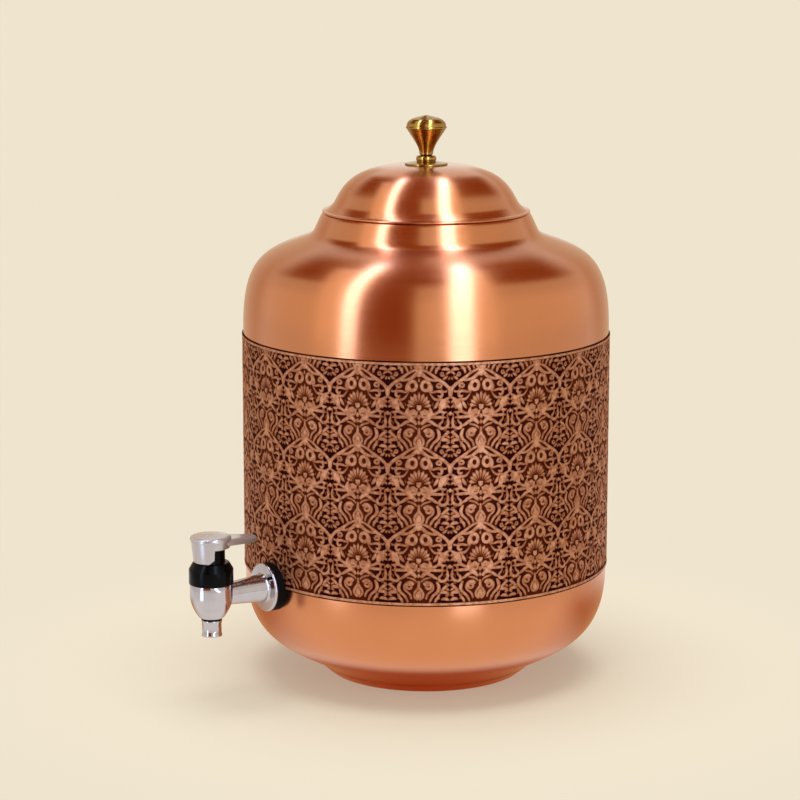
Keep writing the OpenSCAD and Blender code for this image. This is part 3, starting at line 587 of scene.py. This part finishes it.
def strokes(paths):
    """Sweeps a rounded ridge along each path and lays it on the band's round ground, over the tap."""
    ridge = bpy.data.curves.new("ridge", "CURVE")
    outline = ridge.splines.new("POLY")
    outline.points.add(len(RIDGE) - 1)
    for point, place in zip(outline.points, RIDGE):
        point.co = (*place, 0, 1)
    section = bpy.data.objects.new("ridge", ridge)
    bpy.context.scene.collection.objects.link(section)
    drawn = bpy.data.curves.new("strokes", "CURVE")
    drawn.dimensions, drawn.twist_mode = "3D", "Z_UP"
    drawn.bevel_mode, drawn.bevel_object, drawn.use_fill_caps = "OBJECT", section, True
    for path in paths:
        stroke = drawn.splines.new("BEZIER")
        stroke.resolution_u = 2
        stroke.bezier_points.add(len(path) - 1)
        for point, (u, v, w) in zip(stroke.bezier_points, path):
            point.co, point.radius = (u, -v, 0), w
        for point in stroke.bezier_points:
            point.handle_left_type = point.handle_right_type = "AUTO"
    sheet = bpy.data.objects.new("strokes", drawn)
    bpy.context.scene.collection.objects.link(sheet)
    swept = bpy.data.meshes.new_from_object(sheet.evaluated_get(bpy.context.evaluated_depsgraph_get()))
    for made, data in ((sheet, drawn), (section, ridge)):
        bpy.data.objects.remove(made)
        bpy.data.curves.remove(data)
    bm = bmesh.new()
    bm.from_mesh(swept)
    bpy.data.meshes.remove(swept)
    bmesh.ops.remove_doubles(bm, verts=bm.verts, dist=1e-4)
    bmesh.ops.recalc_face_normals(bm, faces=bm.faces)
    for dot in bm.verts:
        # a thin end sinks into the ground, and no stroke rises above the border
        round_by, r = dot.co.x / BAND_R, GROUND_R + tanh(dot.co.z / CREST) * RELIEF
        dot.co = Vector((sin(round_by) * r, -cos(round_by) * r, BAND_TOP + dot.co.y)) * MM
    return bm


half = strokes(mirrored)
other = half.copy()
bmesh.ops.scale(other, vec=(-1, 1, 1), verts=other.verts)
bmesh.ops.reverse_faces(other, faces=other.faces)
repeat = gather(half, other, strokes(on_palmette), turn(strokes(on_column), COLUMN / 2, "Z"))
tile = bpy.data.meshes.new("tile")
repeat.to_mesh(tile)
repeat.free()


def columns(numbers, row):
    """Copies of the repeat round the band, in one row."""
    whole = bmesh.new()
    for n in numbers:
        whole.from_mesh(tile)
        whole.verts.ensure_lookup_table()
        fresh = whole.verts[-len(tile.vertices):]
        down, round_by = Matrix.Translation((0, 0, -row * ROW * MM)), radians(FIRST + n * COLUMN)
        bmesh.ops.transform(whole, matrix=down @ Matrix.Rotation(round_by, 4, "Z"), verts=fresh)
    return whole


def damask(name, rows, low, top):
    """Some rows of the relief, trimmed at the seam and between two heights."""
    parts = []
    for row in rows:
        left, right = columns([CUT_LEFT], row), columns([CUT_RIGHT], row)
        kept_side(left, (-SEAM / 2, 0, 0), (1, 0, 0))
        kept_side(right, (SEAM / 2, 0, 0), (-1, 0, 0))
        parts += [columns(WHOLE, row), left, right]
    whole = gather(*parts)
    kept_side(whole, (0, 0, top), (0, 0, 1))
    kept_side(whole, (0, 0, low), (0, 0, -1))
    in_front = [v for v in whole.verts if v.co.y < 0]
    drilled = [v for v in in_front if Vector((v.co.x, v.co.z - ARM_Z * MM)).length < TAP_CLEAR * MM]
    bmesh.ops.delete(whole, geom=drilled, context="VERTS")
    piece(name, whole, rubbed_and_shaded_copper, "vessel", "antiqued_copper", sharp=25)


damask("damask_upper", [-1, 0], BAND_TOP - SPLIT, RELIEF_TOP)
damask("damask_middle", [0, 1], BAND_TOP - SPLIT - ROW, BAND_TOP - SPLIT)
damask("damask_lower", [1, 2], RELIEF_LOW, BAND_TOP - SPLIT - ROW)
bpy.data.meshes.remove(tile)


# The lid and its knob

# The lid's upper side: a flat brim, a rounded foot and the dome, with a hole for the knob's screw
BRIM_Z = LID_LOW + WALL
SCREW_HOLE = 2.1
BRIM_IN, DOME_FOOT = (54.87, BRIM_Z), (50.6, 257)
dome = [(LID_R, BRIM_Z), BRIM_IN] + corner(BRIM_IN, (53.37, BRIM_Z), DOME_FOOT)
dome += bend(DOME_FOOT, (46.73, 261.19), (44.9, LID_TOP), (ROSETTE_R, LID_TOP), 36)
dome += [(7, LID_TOP), (SCREW_HOLE, LID_TOP)]
piece("lid", spun(dome, wall=WALL, soften=0.45), spun_copper, "lid", "spun_copper", "lid_dome")

# The knob's base: a thin flared edge, a waist and a bead
NECK_R = 3.7  # the knob's foot, on the bead
ROSETTE_EDGE, ROSETTE_WAIST = (ROSETTE_R, 279.2), (5.0, 280.4)
rosette = [(SCREW_HOLE, ROSETTE_LOW), (ROSETTE_R, ROSETTE_LOW), ROSETTE_EDGE]
rosette += bend(ROSETTE_EDGE, (8.37, 279.87), (6.956, 279.98), ROSETTE_WAIST, 12)
rosette += bend(ROSETTE_WAIST, (6.13, 281.53), (5.3, KNOB_LOW), (NECK_R, KNOB_LOW), 12)
rosette += [(SCREW_HOLE, KNOB_LOW)]
piece("knob_base", spun(rosette, sides=96, closed=True, soften=0.2), polished_brass,
      "lid", "cast_brass", "knob_rosette")

# The knob: a blind hole for the screw, a flared stem, a sharp girdle and a low crown
SCREW_BORE, BORE_TOP = 2.02, 293.4
GRIP_FOOT, GIRDLE_LOW, GIRDLE_TOP = (NECK_R, 284.1), (10.6, 297.7), (10.6, 299.1)
grip = [(0, BORE_TOP), (SCREW_BORE, BORE_TOP), (SCREW_BORE, KNOB_LOW), (3.0, KNOB_LOW), GRIP_FOOT]
grip += bend(GRIP_FOOT, (NECK_R, 288.4), (8.4, 293.89), GIRDLE_LOW)
grip += corner(GIRDLE_LOW, (11.6, 298.4), GIRDLE_TOP)
grip += bend(GIRDLE_TOP, (10.6, 301.4), (9.26, 303.4), (0, KNOB_TOP))
piece("knob_grip", spun(grip, sides=96), polished_brass, "lid", "cast_brass", "knob")


# The tap

# The casting's barrel: a pear outside, and inside the chamber, the seat and the outlet
BARREL_R, SOCKET_R, CHAMBER_R, OUTLET_R, NOZZLE_HOLE = 11.3, 9.9, 7.6, 3.8, 5.0
LEDGE_Z = 52.4  # the nozzle stops just under it
PEAR_FOOT = (6.4, SEAL_TOP)
barrel = [PEAR_FOOT] + bend(PEAR_FOOT, (8.62, 50.94), (BARREL_R, 55.3), (BARREL_R, 60.3), 20)
barrel += [(BARREL_R, 63.5), (BARREL_R, COLLAR_LOW), (SOCKET_R, COLLAR_LOW), (SOCKET_R, BARREL_TOP)]
barrel += [(CHAMBER_R, BARREL_TOP), (CHAMBER_R, SEAT_Z), (OUTLET_R, SEAT_Z), (OUTLET_R, LEDGE_Z)]
barrel += [(NOZZLE_HOLE, LEDGE_Z), (NOZZLE_HOLE, SEAL_TOP)]
ARM_BORE, BORE_FROM = 3.6, 120  # the water's way through the arm, drilled on to the barrel's axis
bore = [(0, BORE_FROM), (ARM_BORE, BORE_FROM), (ARM_BORE, -TAP_Y), (0, -TAP_Y)]
drill = along_arm(spun(bore, sides=48))
drilled_barrel = cut(at_tap(spun(barrel, sides=96, closed=True, soften=0.25)), drill)

# The casting's arm, out from the pot's axis: the shank, the flange and the tapered arm
SHANK_END, SHANK_R, LAND_R, ARM_END = 84, 6.6, 7, 127.6
FLANGE_BACK, FLANGE_FRONT = 103.7, 105.5
FLANGE_EDGE, ARM_ROOT = (FLANGE_R, 104.3), (8.6, FLANGE_FRONT)
arm = [(ARM_BORE, SHANK_END), (SHANK_R, SHANK_END), (SHANK_R, 101.5), (LAND_R, 102)]
arm += [(LAND_R, FLANGE_BACK), (12.5, FLANGE_BACK)]
arm += corner((12.5, FLANGE_BACK), (FLANGE_R, FLANGE_BACK), FLANGE_EDGE, 4)
arm += corner(FLANGE_EDGE, (FLANGE_R, FLANGE_FRONT), (12, FLANGE_FRONT), 5) + [ARM_ROOT]
arm += corner(ARM_ROOT, (7.45, FLANGE_FRONT), (7.4, 106.8), 4) + [(5.8, ARM_END), (ARM_BORE, ARM_END)]

# The thread on the shank: one ridge wound round it
PITCH, TURNS, TURN_STEPS = 1.5, 11, 32
thread = bmesh.new()
ridge_line = ((6.55, 84.9), (6.99, 85.3), (6.99, 85.5), (6.55, 85.9))
dots = [thread.verts.new((r * MM, 0, z * MM)) for r, z in ridge_line]
links = [thread.edges.new(pair) for pair in zip(dots, dots[1:])]
bmesh.ops.spin(thread, geom=dots + links, axis=(0, 0, 1), cent=(0, 0, 0), angle=2 * pi * TURNS,
               steps=TURNS * TURN_STEPS, dvec=(0, 0, PITCH * MM / TURN_STEPS), use_merge=False)
bmesh.ops.recalc_face_normals(thread, faces=thread.faces)
casting = gather(drilled_barrel, along_arm(spun(arm, sides=96, closed=True)), along_arm(thread))
piece("tap_casting", casting, chrome_plate, "vessel", "chrome_plate", "tap_body")

# The nozzle, with a bead at each end, and the black seal above it
WAIST_R, TENON_R = 5.1, 4.9
nozzle = [(OUTLET_R, NOZZLE_LOW), (NOZZLE_R, NOZZLE_LOW), (NOZZLE_R, 39.0), (WAIST_R, 39.9), (WAIST_R, 45.0)]
nozzle += [(NOZZLE_R, 45.9), (NOZZLE_R, SEAL_LOW), (TENON_R, SEAL_LOW), (TENON_R, NOZZLE_TOP)]
nozzle += [(OUTLET_R, NOZZLE_TOP)]
piece("nozzle", at_tap(spun(nozzle, sides=72, closed=True, soften=0.2)), chrome_plate,
      "vessel", "chrome_plate", "spout_nozzle")
seal = [(NOZZLE_HOLE, SEAL_LOW), (SEAL_R, SEAL_LOW), (SEAL_R, SEAL_TOP), (NOZZLE_HOLE, SEAL_TOP)]
piece("nozzle_seal", at_tap(spun(seal, sides=72, closed=True, soften=0.15)), black_rubber,
      "vessel", "black_rubber", "spout_seal")

# The black collar over the barrel's top, with the tower that the lever's heel rests on
SPRING_TOP = 73.8  # the collar's ceiling, which the spring pushes against
TOWER_R, TOWER_FOOT, STEM_BORE, COLLAR_BORE = 7.4, 78.1, 2.95, 10
collar = [(COLLAR_BORE, COLLAR_LOW), (COLLAR_R, COLLAR_LOW), (COLLAR_R, 74.4), (9.5, TOWER_FOOT)]
collar += [(TOWER_R, TOWER_FOOT), (TOWER_R, TOWER_TOP), (STEM_BORE, TOWER_TOP), (STEM_BORE, SPRING_TOP)]
collar += [(COLLAR_BORE, SPRING_TOP)]
piece("collar", at_tap(spun(collar, sides=96, closed=True, soften=0.35)), black_abs,
      "vessel", "black_plastic", "bonnet")

# The return spring, one coiled wire that shortens as the stem's collar rises
SPRING_LOW, COIL_R, WIRE_R = 64.8, 5.0, 0.38
COILS, COIL_STEPS = 5, 5 * 24
CLIMB = SPRING_TOP - SPRING_LOW - 2 * WIRE_R
coil = bmesh.new()
bmesh.ops.create_circle(coil, segments=10, radius=WIRE_R * MM)
shift(turn(coil, 90, "X"), x=COIL_R, z=SPRING_LOW + WIRE_R)
bmesh.ops.spin(coil, geom=coil.verts[:] + coil.edges[:], axis=(0, 0, 1), cent=(0, 0, 0), angle=2 * pi * COILS,
               steps=COIL_STEPS, dvec=(0, 0, CLIMB * MM / COIL_STEPS), use_merge=False)
bmesh.ops.holes_fill(coil, edges=[e for e in coil.edges if e.is_boundary], sides=0)
bmesh.ops.recalc_face_normals(coil, faces=coil.faces)
spring = piece("spring_coil", at_tap(coil), drawn_steel, "vessel", "steel", "return_spring")
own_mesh(spring)

# The lever's cap: a crowned top with a rim, and a skirt that is notched on the side of the tab
CROWN_R, RIM_LOW, CAP_INSIDE, INSIDE_R = 50.0, 89.4, 89.9, 8.9
HEM = (9.25, 78.8)
crown = [(r, CAP_TOP - r * r / 2 / CROWN_R) for r in (0, 2, 4, 6, 8, 9.6)]
cap = crown + corner(crown[-1], (10.75, 91.85), (CAP_R, 90.8))
cap += corner((CAP_R, 90.2), (CAP_R, RIM_LOW), (10.4, RIM_LOW), 5) + [(9.8, 84.0), HEM]
cap += corner(HEM, (9.2, SKIRT_LOW), (8.9, SKIRT_LOW), 3) + [(7.8, SKIRT_LOW), (7.7, 78.5)]
cap += [(INSIDE_R, RIM_LOW), (INSIDE_R, CAP_INSIDE), (0, CAP_INSIDE)]
NOTCH_LOW, NOTCH_TOP, NOTCH_END = 77.4, 86.1, 11
notch = [(-5.6, NOTCH_LOW), (-5.6, SKIRT_LOW), (-3.1, 80.9), (-3.1, NOTCH_TOP), (NOTCH_END, NOTCH_TOP)]
notch += [(NOTCH_END, NOTCH_LOW)]
notched_cap = cut(spun(cap, sides=96), on_edge(plate(notch, -12, 12)))

# The lever's tab: a tapered tongue with a round tip, which slopes down from the cap
TAB_T, TAB_ANGLE, TAB_DROP, TAB_ROUND = 3.6, 5.0, 1.8, 1.5
ROOT_R, TIP_R, TIP_Y = 9.8, 4.5, 23.5
TAB_BORE = 9.0  # the tongue starts inside the cap's wall
TAPER = (ROOT_R - TIP_R) / TIP_Y
tab = [(-ROOT_R, 0), (ROOT_R, 0), (ROOT_R, ROOT_R * TAPER)]
tab += [(TIP_R * cos(radians(a)), TIP_Y + TIP_R * sin(radians(a))) for a in range(12, 169, 6)]
tab += [(-ROOT_R, ROOT_R * TAPER)]
tongue = plate(tab, -TAB_T, 0)
rims = [e for e in tongue.edges if abs(e.verts[0].co.z - e.verts[1].co.z) < 1e-6]
bmesh.ops.bevel(tongue, geom=rims, offset=TAB_ROUND * MM, offset_type="OFFSET", affect="EDGES", segments=6,
                profile=0.5, material=-1, clamp_overlap=True)
shift(turn(tongue, -TAB_ANGLE, "X"), z=CAP_TOP - TAB_DROP)
tongue = cut(tongue, spun([(0, 70), (TAB_BORE, 70), (TAB_BORE, 100), (0, 100)], sides=96))

# The lever's two cheeks, drawn about the hinge, with the heel: an involute cam on the tower
CAM_R, HEEL_DROP, CHEEK_TOP, CHEEK_T, PIN_EYE = 5.5, 2.95, 3.95, 1.6, 1.02
cheek = [(-CAM_R, -HEEL_DROP)]
for press in range(0, 26, 5):
    a = radians(press)
    string = HEEL_DROP + CAM_R * a
    cheek.append((CAM_R * cos(a) + string * sin(a), CAM_R * sin(a) - string * cos(a)))
cheek += [(cheek[-1][0], CHEEK_TOP), (-CAM_R, CHEEK_TOP)]
cheeks = []
for inner in (-4.7, 3.1):
    eye = turn(spun([(0, -9), (PIN_EYE, -9), (PIN_EYE, 9), (0, 9)], sides=32), 90, "Y")
    cheeks.append(shift(cut(on_edge(plate(cheek, inner, inner + CHEEK_T)), eye), z=HINGE_Z))
piece("lever", at_tap(gather(notched_cap, tongue, *cheeks)), satin_chrome,
      "lever", "chrome_plate", "lever_handle")


# The stage, in metres

CREAM = colour("#EFE4CE")
COOL, WARM, SAND, BROWN = "#C2D8FF", "#FFF8EC", "#E3C3A0", "#A05818"
MIDDLE = Vector((0, 0, 0.2))  # the sheets stand round the pot's middle
FLOOR_GAP = 0.006  # and stay this far above the floor
LOOK_DOWN = 11  # about how far the camera looks down, in degrees


def arch(name, left, right, low, high, code, glow, reach=1.0, lean=0.0, foot=1.0, soft=(0.4, 0.1)):
    """A bent sheet of light or colour that only the metal mirrors.

    The camera finds it where the metal faces between two bearings, in degrees to the camera's right,
    and slopes back between two angles. It leans to the right towards its top, has a share of its
    glow at its foot, fades at its sides and ends, and stays above the floor.
    """
    camera_way = Vector((0, -cos(radians(LOOK_DOWN)), sin(radians(LOOK_DOWN))))
    bm = bmesh.new()
    bmesh.ops.create_grid(bm, x_segments=20, y_segments=30, size=1.0)
    fades, glows = [], []
    for dot in bm.verts:
        x, y = dot.co.x, dot.co.y
        up = (y + 1) / 2
        fades.append(min(1, (1 - abs(x)) / soft[0]) * min(1, (1 - abs(y)) / soft[1]))
        glows.append(glow * (foot + (1 - foot) * up))
        side = radians(left + (right - left) * (x + 1) / 2 + lean * up ** 3)
        slope = radians(low + (high - low) * up)
        out = Vector((sin(side), -cos(side), 0))
        normal = cos(slope) * out + Vector((0, 0, sin(slope)))
        way = 2 * normal.dot(camera_way) * normal - camera_way
        far = min(reach, (MIDDLE.z - FLOOR_GAP) / -way.z) if way.z < 0 else reach
        dot.co = MIDDLE + far * way
    turn(bm, VIEW, "Z")
    mesh = bpy.data.meshes.new(name)
    bm.to_mesh(mesh)
    bm.free()
    mesh.attributes.new("fade", "FLOAT", "POINT").data.foreach_set("value", fades)
    mesh.attributes.new("glow", "FLOAT", "POINT").data.foreach_set("value", glows)
    made = bpy.data.objects.new(name, mesh)
    made.visible_camera = made.visible_diffuse = made.visible_shadow = made.visible_transmission = False
    paint = bpy.data.materials.new(name)
    paint.use_nodes = True
    tree = paint.node_tree
    tree.nodes.remove(tree.nodes["Principled BSDF"])
    power = add(tree, "Attribute", out="Fac", attribute_name="glow")
    edge = add(tree, "Attribute", out="Fac", attribute_name="fade")
    clear = add(tree, "BsdfTransparent")
    light = add(tree, "Emission", {"Color": colour(code), "Strength": power})
    add(tree, "MixShader", {0: edge, 1: clear, 2: light}, tree.nodes["Material Output"].inputs["Surface"])
    mesh.materials.append(paint)
    bpy.context.scene.collection.objects.link(made)


def ray_kinds(tree):
    """Whether a ray comes from the camera, straight or through something clear, and whether metal sent it."""
    seen = add(tree, "LightPath", out="Is Camera Ray")
    through = add(tree, "LightPath", out="Is Transmission Ray")
    shown = add(tree, "Math", {0: seen, 1: through}, operation="MAXIMUM")
    return shown, add(tree, "LightPath", out="Is Glossy Ray")


# One soft lamp overhead, in plain white
LAMP_SIZE, LAMP_GLOW = 1.6, 3.7  # its side, and its brightness where a white wall is 1
lamp = bpy.data.lights.new("overhead", "AREA")
lamp.shape, lamp.size = "SQUARE", LAMP_SIZE
lamp.energy = 4 * LAMP_GLOW * LAMP_SIZE ** 2  # a lamp of this kind spreads its watts over 4 times its area
overhead = bpy.data.objects.new("overhead", lamp)
overhead.location = (0, 0, 2.2)
overhead.visible_camera = overhead.visible_glossy = False
bpy.context.scene.collection.objects.link(overhead)

# Two tall lamps, each with a softer glow on its outer side: the pale streaks on the copper
arch("left_lamp", -26.5, -20.5, -14, 68, COOL, 15.0, lean=5, foot=0.3)
arch("left_glow", -36, -25, 0, 60, WARM, 1.3, 1.05)
arch("right_lamp", 6, 15, -14, 68, COOL, 15.0, lean=4, foot=0.3)
arch("right_glow", 11, 23, 0, 60, WARM, 1.3, 1.05)
# The room's pale upper wall, and its sandy sides at the edges of the pot
arch("upper_wall", -64, 64, 22, 50, WARM, 0.85, 1.45, soft=(0.1, 0.3))
arch("left_side", -95, -58, -24, 80, SAND, 0.95, 1.4)
arch("right_side", 60, 95, -24, 80, SAND, 0.95, 1.4)
# Brown sheets that only the metal mirrors: a painted dark reflection that keeps the copper deep in colour between
# the streaks and under the lid
arch("brown_flag", -25, -2.5, -4, 82, BROWN, 1.0, 1.15, lean=4, soft=(0.15, 0.05))
arch("brown_ceiling", -62, 62, 36, 68, BROWN, 1.0, 1.3, soft=(0.2, 0.15))

# The world: cream paper to the camera, pale walls in the metal and a softer light on the rest
world = bpy.data.worlds.new("studio")
bpy.context.scene.world = world
world.use_nodes = True
tree = world.node_tree
tree.nodes.remove(tree.nodes["Background"])
shown, shiny = ray_kinds(tree)
room = add(tree, "Background", {"Color": colour("#F4F0E8"), "Strength": 0.5})
walls = add(tree, "Background", {"Color": colour("#F7F1E4"), "Strength": 1.1})
backdrop = add(tree, "Background", {"Color": CREAM, "Strength": 1.0})
mirrored_room = add(tree, "MixShader", {0: shiny, 1: room, 2: walls})
add(tree, "MixShader", {0: shown, 1: mirrored_room, 2: backdrop},
    tree.nodes["World Output"].inputs["Surface"])

# A plain cream paper floor. To the camera it is lit and takes the shadow near the pot, and joins the
# backdrop further out. In the metal it shows a painted reflection: pale in front, sandy beside and behind
# the pot, and a deep copper red under it, painted for the pot's shadow there and the pot mirroring itself.
bm = bmesh.new()
bmesh.ops.create_circle(bm, cap_ends=True, segments=64, radius=3.0)
mesh = bpy.data.meshes.new("floor")
bm.to_mesh(mesh)
bm.free()
floor = bpy.data.objects.new("floor", mesh)
bpy.context.scene.collection.objects.link(floor)
paper_floor = bpy.data.materials.new("paper_floor")
paper_floor.use_nodes = True
tree = paper_floor.node_tree
tree.nodes.remove(tree.nodes["Principled BSDF"])
here = add(tree, "TexCoord", out="Object")
away = add(tree, "VectorMath", {0: here}, operation="LENGTH")
shown, shiny = ray_kinds(tree)

far = add(tree, "MapRange", {0: away, 1: 0.08, 2: 0.30, 3: 0.35, 4: 1.0}, interpolation_type="SMOOTHSTEP")
lit = add(tree, "BsdfDiffuse", {"Color": CREAM})
paper = add(tree, "Emission", {"Color": CREAM, "Strength": 1.0})
near = add(tree, "MixShader", {0: far, 1: lit, 2: paper})
plain = add(tree, "MixShader", {0: shown, 1: lit, 2: near})

# Painted shade and reflection: to the metal the floor under the pot glows a deep copper red
under = add(tree, "MapRange", {0: away, 1: 0.065, 2: 0.086, 3: 0.0, 4: 1.0}, interpolation_type="SMOOTHSTEP")
bounce = add(tree, "Mix", {0: under, 6: colour("#9C3A10"), 7: colour("#F8F3EE")}, data_type="RGBA")
ahead = add(tree, "VectorMath", {0: here, 1: TO_CAMERA}, operation="DOT_PRODUCT")
behind = add(tree, "MapRange", {0: ahead, 1: -0.02, 2: 0.085, 3: 1.0, 4: 0.0},
             interpolation_type="SMOOTHSTEP")
close = add(tree, "MapRange", {0: away, 1: 0.16, 2: 0.34, 3: 1.0, 4: 0.0}, interpolation_type="SMOOTHSTEP")
beside = add(tree, "Math", {0: behind, 1: close}, operation="MULTIPLY")
tone = add(tree, "Mix", {0: beside, 6: bounce, 7: colour("#BE8A60")}, data_type="RGBA")
dim = add(tree, "MapRange", {0: away, 1: 0.20, 2: 0.50, 3: 1.25, 4: 0.95}, interpolation_type="SMOOTHSTEP")
sheen = add(tree, "Emission", {"Color": tone, "Strength": dim})
add(tree, "MixShader", {0: shiny, 1: plain, 2: sheen}, tree.nodes["Material Output"].inputs["Surface"])
mesh.materials.append(paper_floor)

# The camera, fitted to the rims of the pot in the photo
DISTANCE, HEIGHT = 1.42818, 0.42745
DOWN, ASIDE = 0.19237, -0.00988  # radians
inward = -Vector(TO_CAMERA)
rightward = Vector((cos(radians(VIEW)), sin(radians(VIEW)), 0))
look = cos(DOWN) * (sin(ASIDE) * rightward + cos(ASIDE) * inward) - sin(DOWN) * Vector((0, 0, 1))
lens = bpy.data.cameras.new("camera")
lens.lens, lens.sensor_width = 119.65, 36.0
camera = bpy.data.objects.new("camera", lens)
camera.location = (DISTANCE * TO_CAMERA[0], DISTANCE * TO_CAMERA[1], HEIGHT)
camera.rotation_euler = look.to_track_quat("-Z", "Y").to_euler()
bpy.context.scene.collection.objects.link(camera)
bpy.context.scene.camera = camera
bpy.context.scene.view_settings.view_transform = "Standard"
